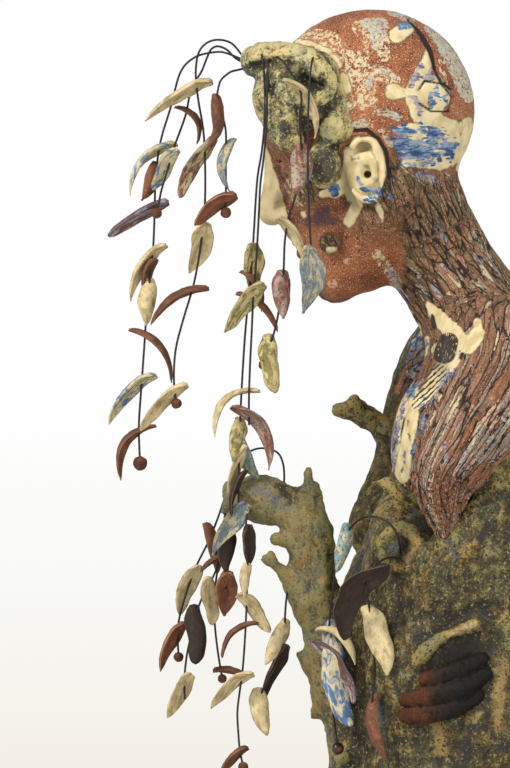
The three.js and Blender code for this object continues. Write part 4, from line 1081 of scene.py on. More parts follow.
burrRelief = {"lump": 0.6, "lumpSize": 16, "furrow": 0.32, "furrowSize": 5, "pit": 0.3, "pitSize": 2.2}
handRelief = {"lump": 0.2, "lumpSize": 12, "furrow": 0.5, "furrowSize": 2.6, "pit": 0.16, "pitSize": 1.5}
bark = makeBark("barked_trunk", barkedTrunk, barkForms, barkRelief, 10)
burr = makeBark("brow_burr", browBurr, burrForms, burrRelief, 14)
hand = makeBark("resting_hand", restingHand, handForms, handRelief, 8)
print("figure built up")


# Leaves: pinched from a slab, pierced near the stem end, threaded and left to swing
leafLook = {"rows": 26, "around": 20, "hole": 0.2, "widest": 0.34, "thinnest": 0.13, "thick": 4.0,
            "rough": 0.34, "roughSize": 4.0, "wavy": 2.2, "wavySize": 15, "curl": 110, "roll": 190,
            "twist": 40, "sickle": 0.05}


def closedSkin(rings, first, last):
    around = len(rings[0])
    points = np.vstack([np.vstack(rings), first, last])
    faces = []
    for row in range(len(rings) - 1):
        for i in range(around):
            a, b = row * around + i, row * around + (i + 1) % around
            faces.append((a, b, b + around, a + around))
    top = (len(rings) - 1) * around
    for i in range(around):
        j = (i + 1) % around
        faces += [(len(points) - 2, j, i), (top + i, top + j, len(points) - 1)]
    return points, faces


def leafFrame(wireLine, shape):
    swing, lean, roll = (math.radians(shape[key]) for key in ("swing", "lean", "roll"))
    along = Vector((math.sin(lean), -math.sin(swing) * math.cos(lean), -math.cos(swing) * math.cos(lean)))
    edge = (Vector((1, 0, 0)) - along * along.x).normalized()
    edge.rotate(Quaternion(along, roll))
    face = along.cross(edge)
    if face.z < 0:
        face.negate()
    heights = wireLine[:, 2]
    row = len(heights) - int(np.argmax(heights[::-1] >= shape["z"] * mm))
    share = (heights[row - 1] - shape["z"] * mm) / max(heights[row - 1] - heights[row], 1e-9)
    hole = Vector(wireLine[row - 1] + (wireLine[row] - wireLine[row - 1]) * min(max(share, 0), 1)) / mm
    return hole, along, edge, face


def leafSwell(s, length, chance, stray):  # half width at a share s of the length, 1 at the widest
    widest = leafLook["widest"]
    if s < widest:
        swell = 0.46 + 0.54 * math.sin(math.pi / 2 * s / widest)
    else:
        taper = ((s - widest) / (1 - widest)) ** (1.3 + 0.7 * chance)
        swell = math.cos(math.pi / 2 * taper) ** (0.75 - 0.5 * chance)
    swell *= (1 + 0.16 * noise.noise(stray + Vector((0, s * length / 9, 0)))) * min(s / 0.025, 1) ** 0.5
    return max(swell, leafLook["thinnest"])


def pinchLeaf(name, wireLine, shape, seed):
    # Blunt and rolled up at the stem end, open and cupped in the middle, drawn out to a thin tip.
    hole, along, edge, face = leafFrame(wireLine, shape)
    look = leafLook
    length, half = shape["length"], shape["width"] / 2 * 1.12
    stray = Vector((seed * 7.3, seed * 3.1, -seed * 5.7))
    chance = [noise.noise(stray + Vector((k * 9.1, 0.5, 0.5))) for k in range(4)]
    sickle = look["sickle"] * 2 * chance[0] * length if shape["sickle"] is None else shape["sickle"]
    rise = lambda s: 4 * abs(shape["bow"]) * length * s * (1 - s)
    rings, places = [], []
    for i in range(look["rows"] + 1):
        s = 0.5 - 0.5 * math.cos(math.pi * (0.03 + 0.95 * i / look["rows"]))
        swell = leafSwell(s, length, chance[3], stray)
        thick = look["thick"] / 2 * (1.15 - 0.6 * s) * min(swell / 0.3, 1)
        curl = look["curl"] * (1 + 0.5 * chance[1]) + look["roll"] * max(1 - s / 0.2, 0) ** 1.5
        curl = math.radians(curl) / 2
        turned = Quaternion(along, math.radians(2 * look["twist"] * chance[2]) * (s - look["hole"]))
        across, out = edge.copy(), face.copy()
        across.rotate(turned)
        out.rotate(turned)
        middle = hole + along * (s - look["hole"]) * length + face * (rise(s) - rise(look["hole"]))
        middle += edge * (sickle * 4 * (s - look["hole"]) * (1 - s))
        middle += edge * look["wavy"] * noise.noise(stray + Vector((s * length / look["wavySize"], 0, 0)))
        ring = []
        for k in range(look["around"]):
            turn = 2 * math.pi * k / look["around"]
            bend = math.cos(turn) * curl
            radius = half * swell / curl
            aside = half * swell * math.cos(turn)
            vein = 0.5 * thick * math.exp(-(aside / 0.9) ** 2) * (math.sin(turn) > 0)
            lift = thick * math.sin(turn) - vein * max(1 - s / 0.55, 0)
            radial = across * math.sin(bend) + out * math.cos(bend)
            point = middle + radial * (radius + lift) - out * radius
            bump = noise.noise(stray + point / look["roughSize"]) + 0.5 * noise.noise(point / 1.7 + stray)
            ring.append(point + radial * bump * look["rough"] * min(swell * 3, 1))
            places.append((s * length, aside, abs(math.cos(turn)) * (math.sin(turn) > -0.2)))
        rings.append(np.array(ring))
    first = rings[0].mean(axis=0) - 0.5 * np.array(along)
    last = rings[-1].mean(axis=0) + 0.4 * np.array(along)
    points, faces = closedSkin(rings, first, last)
    return roundPiece(name, points, faces, places + [(0, 0, 0), (length, 0, 0)])


def roundPiece(name, points, faces, places):
    mesh = bpy.data.meshes.new(name)
    mesh.from_pydata([tuple(p * mm) for p in points], [], faces)
    mesh.polygons.foreach_set("use_smooth", np.ones(len(faces), bool))
    mesh.update()
    volume = 0
    for polygon in mesh.polygons:
        corners = [mesh.vertices[i].co for i in polygon.vertices]
        volume += sum(corners[0].dot(b.cross(c)) for b, c in zip(corners[1:], corners[2:]))
    if volume < 0:
        mesh.flip_normals()
    writeField(mesh, "place", np.array(places))
    piece = putIn(name, mesh)
    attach(piece, "root")
    return piece


beadLook = {"rows": 8, "around": 14, "lumpy": 0.09, "flat": 0.96}


def rollBead(name, end, before, radius, seed):
    rows, sides = beadLook["rows"], beadLook["around"]
    down = (end - before).normalized()
    side = down.orthogonal().normalized()
    front = down.cross(side)
    rings, places = [], []
    for i in range(rows + 1):
        turn = math.pi * (0.1 + 0.8 * i / rows)
        ring = []
        for k in range(sides):
            around = 2 * math.pi * k / sides
            out = side * math.cos(around) + front * math.sin(around)
            way = down * -math.cos(turn) + out * math.sin(turn)
            lumpy = 1 + beadLook["lumpy"] * noise.noise(way * 1.8 + Vector((seed, 0, 0)))
            ring.append(end + way * radius * lumpy)
            places.append((i, k, math.sin(turn)))
        rings.append(np.array(ring))
    reach = down * radius * beadLook["flat"]
    points, faces = closedSkin(rings, np.array(end - reach), np.array(end + reach))
    return roundPiece(name, points, faces, places + [(0, 0, 0), (rows, 0, 0)])


leafPieces = []
for wireNumber, (wireName, wireParts) in enumerate(wires.items()):
    wire, line, wireLength = strung[wireName]
    hanging = []
    count = {True: 0, False: 0}
    for shape in wireParts["leaves"]:
        count[shape["node"]] += 1
        number = count[shape["node"]]
        title = "clay_leaf_" if shape["node"] else "small_leaf_"
        seed = 10 * wireNumber + len(hanging)
        piece = pinchLeaf(f"{title}{wireName}_{number}", line, shape, seed)
        if shape["node"]:
            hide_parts(f"leaf_{wireName}_{number}")
        hanging.append(piece)
        leafPieces.append((piece, shape["clay"]))
    if wireParts["bead"]:
        end, before = Vector(line[-1]) / mm, Vector(line[-2]) / mm
        bead = rollBead("clay_bead_" + wireName, end, before, wireParts["bead"], wireNumber)
        if wireParts.get("beadNode"):
            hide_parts("bead_" + wireName)
        hanging.append(bead)
        leafPieces.append((bead, "glazed" if wireName == "flank_3" else "mahogany"))
print(len(leafPieces), "leaves and beads")


# Materials
def newMaterial(name):
    material = bpy.data.materials.new(name)
    material.use_nodes = True
    material.node_tree.nodes.clear()
    return material, material.node_tree


def finishMaterial(tree, color, roughness, bump, bumpMm, spread=0, **sockets):
    relief = addNode(tree, "Bump", Height=bump, Distance=bumpMm * mm, Strength=0.8)
    if spread:  # the bump's high places are rougher
        low, high = roughness - spread, roughness + spread
        roughness = addNode(tree, "MapRange", Value=bump, To_Min=low, To_Max=high)
    shader = addNode(tree, "BsdfPrincipled", Base_Color=color, Roughness=roughness, Normal=relief,
                     **sockets)
    addNode(tree, "OutputMaterial", Surface=shader)


def blend(tree, share, below, above):  # one finish over another
    return addNode(tree, "Mix", share, A=below, B=above, data_type="RGBA")


def ceramicGrain(tree, place, size, low, high):  # grog and sand, marks of this many mm
    return sharp(tree, addNode(tree, "TexNoise", Vector=place, Scale=perMm(size), Detail=2), low, high)


# Unglazed red stoneware with slips brushed and rubbed on. Fired clay without glaze is quite matt, and the
# sand and grog in it shows as light and dark specks of about half a millimetre.
stoneware = {"dark": "#683a25", "mid": "#8f5535", "light": "#a56c47", "grog": "#dab798",
             "sootAndShade": "#33201a", "grogSize": 0.8, "groove": "#24140f", "ior": 1.5, "roughness": 0.78}
slipLook = {
    "cream": "#e2d8af", "creamDark": "#c9b98a", "slipShade": "#7f7854",
    "cobaltDeep": "#2a4775", "cobalt": "#436c9a", "cobaltThin": "#8ea2ba", "lavenderDeep": "#5a5b70",
    "lavender": "#7f8096", "lavenderThin": "#a8a7a6", "sky": "#a6b8b6", "skyPale": "#c9c4ac",
    "blush": "#cfa48c", "plum": "#40313a", "print": "#2c211b", "chalk": "#d0c5a4", "azure": "#4a7fa6"}
paints = {"lavender": 0.53, "cobalt": 0.55}  # how full the brush was
strandTones = {
    "neck": [(0.0, "#524631"), (0.22, "#70603f"), (0.4, "#7f6c52"), (0.54, "#8a6e50"), (0.66, "#a75f38"),
             (0.8, "#8d8674"), (1.0, "#bcb498")],
    "arm": [(0.0, "#4d3b2a"), (0.24, "#7d533a"), (0.5, "#935c40"), (0.62, "#8a7460"), (0.78, "#928d8a"),
            (0.92, "#cbbf9f"), (1.0, "#d6caa6")],
}


def rubbed(tree, layer, place, size, cover, edge=0.9):  # slip rubbed on dry: broken by the clay's tooth
    tooth = addNode(tree, "TexNoise", Vector=place, Scale=perMm(size), Detail=5, Roughness=0.74,
                    Distortion=0.3)
    level = addNode(tree, "MULTIPLY_ADD", readField(tree, layer), 1 / (edge * 4), cover)
    capped = addNode(tree, "MINIMUM", level, cover + 0.06)
    total = addNode(tree, "ADD", tooth, capped)
    return sharp(tree, total, 1.0, 0.03)


def laid(tree, layer, place, wobble=3.2):  # slip laid on wet: a clear edge that wanders a little
    wander = addNode(tree, "TexNoise", Vector=place, Scale=perMm(5), Detail=3)
    shift = addNode(tree, "ADD", wander, -0.5)
    depth = addNode(tree, "MULTIPLY_ADD", shift, wobble, readField(tree, layer))
    return depth, sharp(tree, depth, 0.0, 0.25)


neckFoot = {"from": 0.36, "to": 0.46}  # metres above the floor: arm tones below, neck tones above


def strandTone(tree, height, onNeck, cell, sliver, bent):
    # The strands each have their own tone, greyer on the front of the neck.
    coarse = addNode(tree, "MULTIPLY", addNode(tree, "SeparateColor", cell), 0.56)
    pick = addNode(tree, "MULTIPLY_ADD", sliver, 0.44, coarse)
    ahead = addNode(tree, "MULTIPLY_ADD", height.outputs["Y"], -6.0, 0.12)
    tone = addNode(tree, "SUBTRACT", pick, addNode(tree, "MULTIPLY", ahead, onNeck))
    streak = addNode(tree, "TexNoise", Vector=bent, Scale=4.0, Detail=4, Roughness=0.7)
    streaked = addNode(tree, "MULTIPLY_ADD", streak, 1.1, tone)
    toned = addNode(tree, "SUBTRACT", streaked, 0.5)
    arm, neck = (addNode(tree, "ValToRGB", toned, stops=strandTones[part]) for part in ("arm", "neck"))
    return blend(tree, onNeck, arm, neck)


def scoredLines(tree, gap, scratch, onNeck):  # 1 in the grooves between strands, less in the scratches
    width = skinRelief["grooveWidth"]
    line = addNode(tree, "SUBTRACT", 1, sharp(tree, gap, width, width / 2))
    thinLine = addNode(tree, "SUBTRACT", 1, sharp(tree, scratch, 0.07, 0.05))
    share = addNode(tree, "MapRange", Value=onNeck, To_Min=0.35, To_Max=0.75)
    return addNode(tree, "MAXIMUM", line, addNode(tree, "MULTIPLY", thinLine, share))


def sanded(tree, place, color, onStrands, look):
    # Sand shows less on the strands, which were smoothed as they were laid.
    plain = addNode(tree, "MapRange", Value=onStrands, To_Min=1.0, To_Max=0.6)
    grog = ceramicGrain(tree, place, look["grogSize"], 0.63, 0.04)
    color = blend(tree, addNode(tree, "MULTIPLY", grog, plain), color, look["grog"])
    sootAndShade = addNode(tree, "TexNoise", Vector=place, Scale=perMm(1.6), Detail=3)
    return blend(tree, sharp(tree, addNode(tree, "SUBTRACT", 1, sootAndShade), 0.64, 0.04), color, look["sootAndShade"])


def strandedClay(tree, place, look):
    broad = addNode(tree, "TexNoise", Vector=place, Scale=perMm(22), Detail=5, Roughness=0.6)
    tones = [(0.32, look["dark"]), (0.5, look["mid"]), (0.68, look["light"])]
    clay = addNode(tree, "ValToRGB", broad, stops=tones)
    gap, cell, bent = strandGaps(tree)
    # Thin scratched lines part the strands again into slivers, most of all on the neck.
    slivers = addNode(tree, "Mapping", Vector=bent, Rotation=(0.06, 0.1, 0.3), Scale=(2.1, 2.1, 1.9))
    shard = addNode(tree, "TexVoronoi", Vector=slivers, Scale=1.0)
    sliver = addNode(tree, "SeparateColor", shard.outputs["Color"])
    scratch = addNode(tree, "TexVoronoi", Vector=slivers, Scale=1.0, feature="DISTANCE_TO_EDGE")
    height = addNode(tree, "SeparateXYZ", place)
    onNeck = addNode(tree, "MapRange", Value=height.outputs["Z"], From_Min=neckFoot["from"],
                     From_Max=neckFoot["to"])
    onStrands = readField(tree, "strand")
    color = blend(tree, onStrands, clay, strandTone(tree, height, onNeck, cell, sliver, bent))
    color = sanded(tree, place, color, onStrands, look)
    scored = addNode(tree, "MULTIPLY", scoredLines(tree, gap, scratch, onNeck), onStrands)
    # Among the strands a brush or a rag catches only some of the slivers.
    smooth = addNode(tree, "SUBTRACT", 1, onStrands)
    caught = addNode(tree, "MAXIMUM", sharp(tree, sliver.outputs[1], 0.4, 0.02), smooth)
    return color, scored, caught


def ragRubbed(tree, place, color, caught, slip):
    # Rubbed on with a dry rag, so the marks are drawn out the way the rag went
    dragged = addNode(tree, "Mapping", Vector=place, Rotation=(0.7, 0.0, 0.0), Scale=(0.6, 0.25, 1.0))
    for layer, way, size, cover, tone in (("chalk", place, 3.0, 0.43, "chalk"),
                                          ("sky", place, 2.2, 0.42, "skyPale"),
                                          ("sky", dragged, 1.6, 0.41, "sky"),
                                          ("blush", place, 3.0, 0.47, "blush")):
        share = addNode(tree, "MULTIPLY", rubbed(tree, layer, way, size, cover), caught)
        color = blend(tree, share, color, slip[tone])
    return spotted(tree, color, place, "plum", slip["plum"], 0.85)


def creamSlip(tree, place, color, cloudy, slip, look):
    depth, covered = laid(tree, "slip", place)
    cream = blend(tree, sharp(tree, cloudy, 0.53, 0.14), slip["cream"], slip["creamDark"])
    color = blend(tree, covered, color, cream)
    # A thin dark line stands round each patch, and painted shade darkens the slip in hollows
    outline = addNode(tree, "ABSOLUTE", addNode(tree, "ADD", depth, -0.15))
    inked = addNode(tree, "SUBTRACT", 1, sharp(tree, outline, 0.4, 0.35))
    color = blend(tree, addNode(tree, "MULTIPLY", inked, 0.55), color, look["sootAndShade"])
    color = blend(tree, rubbed(tree, "azure", place, 2.6, 0.49), color, slip["azure"])
    slipShade = addNode(tree, "MULTIPLY", sharp(tree, readField(tree, "hollow"), 0.3, 0.3), covered)
    return blend(tree, addNode(tree, "MULTIPLY", slipShade, 0.6), color, slip["slipShade"]), covered


def brushStrokes(tree, place, color, onSlip, slip):
    # Brushed on in strokes that cross at a slant, broken into hairs where the brush ran dry
    hairs = 0.0
    for turn, size, weight in ((0.22, 4.6, 0.5), (-0.3, 2.0, 0.3), (0.1, 1.1, 0.26)):
        swept = addNode(tree, "Mapping", Vector=place, Rotation=(turn, 0.0, 0.0), Scale=(0.4, 0.3, 1.0))
        brush = addNode(tree, "TexNoise", Vector=swept, Scale=perMm(size), Detail=3, Distortion=0.5)
        hairs = addNode(tree, "MULTIPLY_ADD", brush, weight, hairs)
    for paint, full in paints.items():
        depth = readField(tree, paint)
        edge = addNode(tree, "MULTIPLY_ADD", depth, -0.11, hairs)
        wet = addNode(tree, "SUBTRACT", 1, sharp(tree, edge, full, 0.02))
        tones = [(0.44, slip[paint + "Deep"]), (0.5, slip[paint]), (0.56, slip[paint + "Thin"])]
        tone = addNode(tree, "ValToRGB", hairs, stops=tones)
        brushed = addNode(tree, "MULTIPLY", wet, sharp(tree, depth, -0.9, 0.5))
        color = blend(tree, addNode(tree, "MULTIPLY", brushed, onSlip), color, tone)
    return color


def pressedMarks(tree, place, color, slip):
    # Marks pressed into the wet slip and filled with dark stain
    cells = addNode(tree, "TexVoronoi", Vector=place, Scale=perMm(3.6), feature="DISTANCE_TO_EDGE")
    dots = addNode(tree, "SUBTRACT", 1, sharp(tree, cells, 0.3, 0.03))
    printed = addNode(tree, "MULTIPLY", dots, sharp(tree, readField(tree, "print"), 0.0, 0.5))
    slanted = addNode(tree, "Mapping", Vector=place, Rotation=(-0.75, 0.0, 0.0))
    combs = addNode(tree, "TexWave", Vector=slanted, Scale=perMm(7.5), Distortion=3.0, Detail=2,
                    Detail_Scale=2.0, bands_direction="Z")
    hatched = sharp(tree, readField(tree, "hatch"), 0.0, 0.6)
    combed = addNode(tree, "MULTIPLY", sharp(tree, combs, 0.7, 0.12), hatched)
    for mark in (printed, combed, sharp(tree, readField(tree, "stain"), 0.0, 0.4)):
        color = blend(tree, mark, color, slip["print"])
    return color


def skinMaterial():
    material, tree = newMaterial("unglazed_red_stoneware")
    place = addNode(tree, "TexCoord").outputs["Object"]
    look, slip = stoneware, slipLook
    color, scored, caught = strandedClay(tree, place, look)
    color = ragRubbed(tree, place, color, caught, slip)
    cloudy = addNode(tree, "TexNoise", Vector=place, Scale=perMm(9), Detail=5)
    color, covered = creamSlip(tree, place, color, cloudy, slip, look)
    onSlip = addNode(tree, "MAXIMUM", caught, covered)
    color = brushStrokes(tree, place, color, onSlip, slip)
    uncovered = addNode(tree, "SUBTRACT", 1, covered)
    color = blend(tree, addNode(tree, "MULTIPLY", scored, uncovered), color, look["groove"])
    color = pressedMarks(tree, place, color, slip)
    ash, _ = ashColor(tree, place, glaze, 0.05)
    ashEdge = addNode(tree, "MULTIPLY_ADD", cloudy, 12.0, readField(tree, "ash"))
    color = blend(tree, sharp(tree, ashEdge, 6.5, 1.2), color, ash)
    color = blend(tree, sharp(tree, readField(tree, "crease"), -0.1, 0.4), color, look["groove"])
    # Painted shade: the hollows are darkened with the groove tone, less of it on slip
    hollowShade = sharp(tree, readField(tree, "hollow"), 0.55, 0.45)
    bare = addNode(tree, "MapRange", Value=covered, To_Min=0.6, To_Max=0.12)
    color = blend(tree, addNode(tree, "MULTIPLY", hollowShade, bare), color, look["groove"])
    tooth = addNode(tree, "TexNoise", Vector=place, Scale=perMm(1.1), Detail=4)
    finishMaterial(tree, color, look["roughness"], tooth, 0.5, spread=0.12, IOR=look["ior"])
    return material


# Dry ash glaze over bark: grey-green, ochre on thin ridges, black where it pools; hollows and ridges also
# get painted shade and highlight
ashTints = [(0.36, "#b3c2c6"), (0.45, "#cdd6c0"), (0.54, "#dedab0"), (0.66, "#e9d097")]
glaze = {
    "dark": "#1d1a12", "pool": "#332e20", "mid": "#4b432b", "thin": "#655b3b", "ridge": "#978d62",
    "mottling": ((40, 3, 0.2), (14, 3, 0.32), (6, 3, 0.36), (2.6, 3, 0.36), (1.4, 2, 0.36)),
    "level": -0.3, "paler": 0.13, "tints": ashTints, "gain": 1.14, "frost": 0.63, "pits": 0.61,
    "sootAndShade": "#15120a", "limbPits": 0.5, "limbGrey": 0.26, "grey": "#646860",
    "bump": 0.7, "ior": 1.5, "roughness": 0.62}
glazeSpots = {"slate": ("#575e68", 0.7), "ochre": ("#9c8650", 0.75), "rust": ("#74502b", 0.65),
              "char": ("#201e22", 0.85)}
# The second smear is painted shade: the niche above the fingers is painted near-black
glazeSmears = {"dust": ("#cdc08f", 0.8), "sootAndShade": ("#14120f", 0.95)}  # thick enough to hide the specks
barkPatches = {
    "ochre": [
        [(376, 479, 4), (388, 482, 4), (400, 496, 3)],
        [(392, 528, 3), (404, 530, 4), (414, 542, 6), (408, 558, 4)],
        [(503, 452, 5), (484, 470, 5), (470, 494, 3)], [(430, 640, 3), (448, 632, 4), (470, 620, 5)],
        [(320, 579, 5)], [(270, 556, 5)], [(398, 508, 3), (388, 530, 2)], [(434, 715, 8), (438, 745, 9)],
        [(500, 660, 6), (494, 720, 8)], [(376, 470, 3), (384, 482, 4)], [(312, 600, 4), (330, 592, 3)],
        [(315, 70, 4)], [(333, 131, 5)], [(331, 62, 2), (327, 88, 2)], [(308, 113, 3)], [(258, 104, 3)],
    ],
    "dust": [
        [(247, 52, 3), (262, 46, 5), (290, 46, 5), (318, 50, 5)],
        [(338, 68, 4), (349, 96, 5), (350, 120, 4)], [(256, 102, 3), (255, 116, 3)],
        [(440, 637, 2), (452, 631, 3.4), (470, 621, 4.4)],
    ],
    # Painted shade: the niche over the fingers
    "sootAndShade": [[(414, 668, 4), (430, 660, 7), (450, 651, 10), (468, 645, 11), (482, 647, 7)]],
    "rust": [
        [(326, 695, 4), (310, 716, 5)], [(299, 532, 6)], [(301, 561, 7)], [(446, 729, 5)], [(398, 700, 4)],
        [(262, 494, 4)], [(345, 560, 4)],
    ],
    "slate": [
        [(392, 546, 8)], [(410, 510, 5), (420, 526, 5)], [(446, 536, 5), (452, 558, 4)], [(301, 574, 4)],
        [(428, 636, 4)], [(372, 690, 5), (380, 716, 6)], [(250, 488, 5), (268, 494, 7), (286, 506, 6)],
    ],
    "char": [
        [(280, 486, 7), (290, 498, 7)], [(268, 482, 4)], [(306, 506, 4)], [(332, 600, 5), (336, 624, 5)],
        [(486, 524, 9), (476, 536, 6)], [(490, 570, 6)], [(318, 613, 3)], [(330, 586, 4)], [(438, 554, 5)],
        [(486, 610, 7)], [(400, 602, 8)], [(468, 722, 6), (460, 760, 9)], [(500, 742, 9)], [(408, 560, 5)],
        [(240, 492, 4), (254, 500, 4)], [(350, 745, 5)], [(326, 158, 11), (322, 172, 16)], [(306, 122, 8)],
        [(284, 128, 8)], [(270, 78, 7), (284, 84, 5)], [(346, 108, 2), (344, 156, 2)], [(310, 81, 5)],
    ],
}


limbFront = {"from": -0.046, "to": -0.07}  # metres of Y
ashSteps = [(0.37, "dark"), (0.44, "pool"), (0.505, "mid"), (0.575, "thin"), (0.645, "ridge")]


def ashColor(tree, place, look, shade, paler=None):
    # Mottling at several scales runs through one ramp; hollows darker and ridges ochre, partly glaze
    # pooling and thinning, partly painted shade and highlight
    level = look["level"]
    for size, detail, weight in look["mottling"]:
        mottle = addNode(tree, "TexNoise", Vector=place, Scale=perMm(size), Detail=detail, Roughness=0.62,
                         Distortion=0.3)
        level = addNode(tree, "MULTIPLY_ADD", mottle, weight, level)
    if paler:
        level = addNode(tree, "ADD", level, paler)
    # Painted shade and highlight: the level drops in hollows and rises on ridges by the shade amount
    shadedLevel = addNode(tree, "MULTIPLY_ADD", readField(tree, "hollow"), -shade, level)
    color = addNode(tree, "ValToRGB", shadedLevel, stops=[(at, look[tone]) for at, tone in ashSteps])
    # Iron and cobalt in the ash turn it brown in one place and blue-grey in the next
    drift = addNode(tree, "TexNoise", Vector=place, Scale=perMm(13), Detail=4, Roughness=0.6)
    tint = addNode(tree, "ValToRGB", drift, stops=look["tints"])
    tinted = addNode(tree, "VectorMath", color, tint, operation="MULTIPLY")
    return addNode(tree, "VectorMath", tinted, Scale=look["gain"], operation="SCALE"), mottle


def spotted(tree, color, place, layer, tone, amount):  # a soft cloud of another tone inside the strokes
    wander = addNode(tree, "TexNoise", Vector=place, Scale=perMm(5), Detail=6, Roughness=0.75)
    depth = addNode(tree, "MULTIPLY_ADD", wander, 16.0, readField(tree, layer))
    share = addNode(tree, "MULTIPLY", sharp(tree, depth, 9.2, 2.2), amount)
    return blend(tree, share, color, tone)


def barkMaterial(name, look, shade):
    material, tree = newMaterial(name)
    place = addNode(tree, "TexCoord").outputs["Object"]
    front = addNode(tree, "SeparateXYZ", place).outputs["Y"]
    # On the limb, in front, the ash melted smooth, paler and greyer and with few pits
    melted = addNode(tree, "MapRange", Value=front, From_Min=limbFront["from"], From_Max=limbFront["to"])
    color, speck = ashColor(tree, place, look, shade, addNode(tree, "MULTIPLY", melted, look["paler"]))
    greyed = addNode(tree, "MULTIPLY", melted, look["limbGrey"])
    color = blend(tree, greyed, color, look["grey"])
    for layer, (tone, amount) in glazeSpots.items():
        color = spotted(tree, color, place, layer, tone, amount)
    pits = addNode(tree, "TexNoise", Vector=place, Scale=perMm(1.7), Detail=2)
    pitted = addNode(tree, "MapRange", Value=melted, To_Min=1.0, To_Max=look["limbPits"])
    pitted = addNode(tree, "MULTIPLY", sharp(tree, pits, look["pits"], 0.04), pitted)
    color = blend(tree, pitted, color, look["sootAndShade"])
    frost = addNode(tree, "TexNoise", Vector=place, Scale=perMm(1.9), Detail=3, Roughness=0.7)
    color = blend(tree, sharp(tree, frost, look["frost"], 0.05), color, look["ridge"])
    for layer, (tone, amount) in glazeSmears.items():
        color = spotted(tree, color, place, layer, tone, amount)
    finishMaterial(tree, color, look["roughness"], speck, look["bump"], spread=0.2, IOR=look["ior"])
    return material


# Iron-rich slate-brown clay, matt from rubbing by hand, warm brown in front and black at the fingertips
fingerLook = {"tones": [(0.25, "#5a3114"), (0.5, "#2c190e"), (0.72, "#0c0805"), (0.95, "#060607")],
              "turns": (-0.006, 0.034), "wrinkleSize": 5.2, "wrinkleShadeTone": "#0c0908", "hollowShade": "#0e0b09",
              "bump": 0.4, "roughness": 0.72, "ior": 1.5, "specular": 0.35}


def fingerMaterial():
    look = fingerLook
    material, tree = newMaterial("slate_brown_clay")
    place = addNode(tree, "TexCoord").outputs["Object"]
    back = addNode(tree, "SeparateXYZ", place).outputs["Y"]
    start, end = look["turns"]  # metres of Y over which the tone changes
    warm = addNode(tree, "MapRange", Value=back, From_Min=start, From_Max=end)
    cloud = addNode(tree, "TexNoise", Vector=place, Scale=perMm(7), Detail=5)
    shifted = addNode(tree, "MULTIPLY_ADD", cloud, 0.62, warm)
    color = addNode(tree, "ValToRGB", shifted, stops=look["tones"])
    # Painted shade: dark lines across the fingers where the wrinkles lie
    wrinkles = addNode(tree, "TexWave", Vector=place, Scale=perMm(look["wrinkleSize"]), Distortion=11.0,
                       Detail=3, Detail_Scale=2.0, bands_direction="Y")
    wrinkleShade = addNode(tree, "MULTIPLY", sharp(tree, wrinkles, 0.7, 0.25), 0.5)
    color = blend(tree, wrinkleShade, color, look["wrinkleShadeTone"])
    # Painted shade: the hollows between and round the fingers are darkened
    hollowShade = sharp(tree, readField(tree, "hollow"), 0.3, 0.35)
    color = blend(tree, hollowShade, color, look["hollowShade"])
    grain = addNode(tree, "TexNoise", Vector=place, Scale=perMm(1.2), Detail=3)
    finishMaterial(tree, color, look["roughness"], grain, look["bump"], IOR=look["ior"],
                   Specular_IOR_Level=look["specular"])
    return material


# Leaves: the same clay bodies under brushed slips. Two tones meet in patches, specked with a third. The
# numbers are where the second tone and the specks begin in their noise.
leafClays = {
    "cream": ("#d3c79d", "#b3a276", "#765c38", 0.56, 0.68),
    "olive": ("#c7bd8b", "#85814c", "#4c4429", 0.52, 0.64),
    "blue": ("#d2caa2", "#587db0", "#75805c", 0.54, 0.64),
    "cobalt": ("#d6cfab", "#517cb0", "#8b9cb2", 0.5, 0.66),
    "bluegrey": ("#bfb893", "#768b99", "#4b3d31", 0.48, 0.62),
    "turquoise": ("#c3bc9c", "#7ba4a8", "#6c3d2e", 0.46, 0.58),
    "lavender": ("#6a4535", "#9a9aa6", "#486698", 0.53, 0.62),
    "brown": ("#623d2d", "#7a5039", "#8f7356", 0.52, 0.7),
    "mahogany": ("#5c3424", "#74452f", "#4a2d20", 0.5, 0.66),
    "darkbrown": ("#291e19", "#3b2920", "#7b5d44", 0.56, 0.72),
    "rust": ("#83523c", "#6a4230", "#b8966f", 0.54, 0.68),
    "pink": ("#875949", "#a3948a", "#503830", 0.5, 0.6),
    "mottled": ("#bfae84", "#7d4a34", "#708389", 0.5, 0.58),
    "glazed": ("#1d1512", "#33211a", "#5a3a2a", 0.55, 0.74),
}


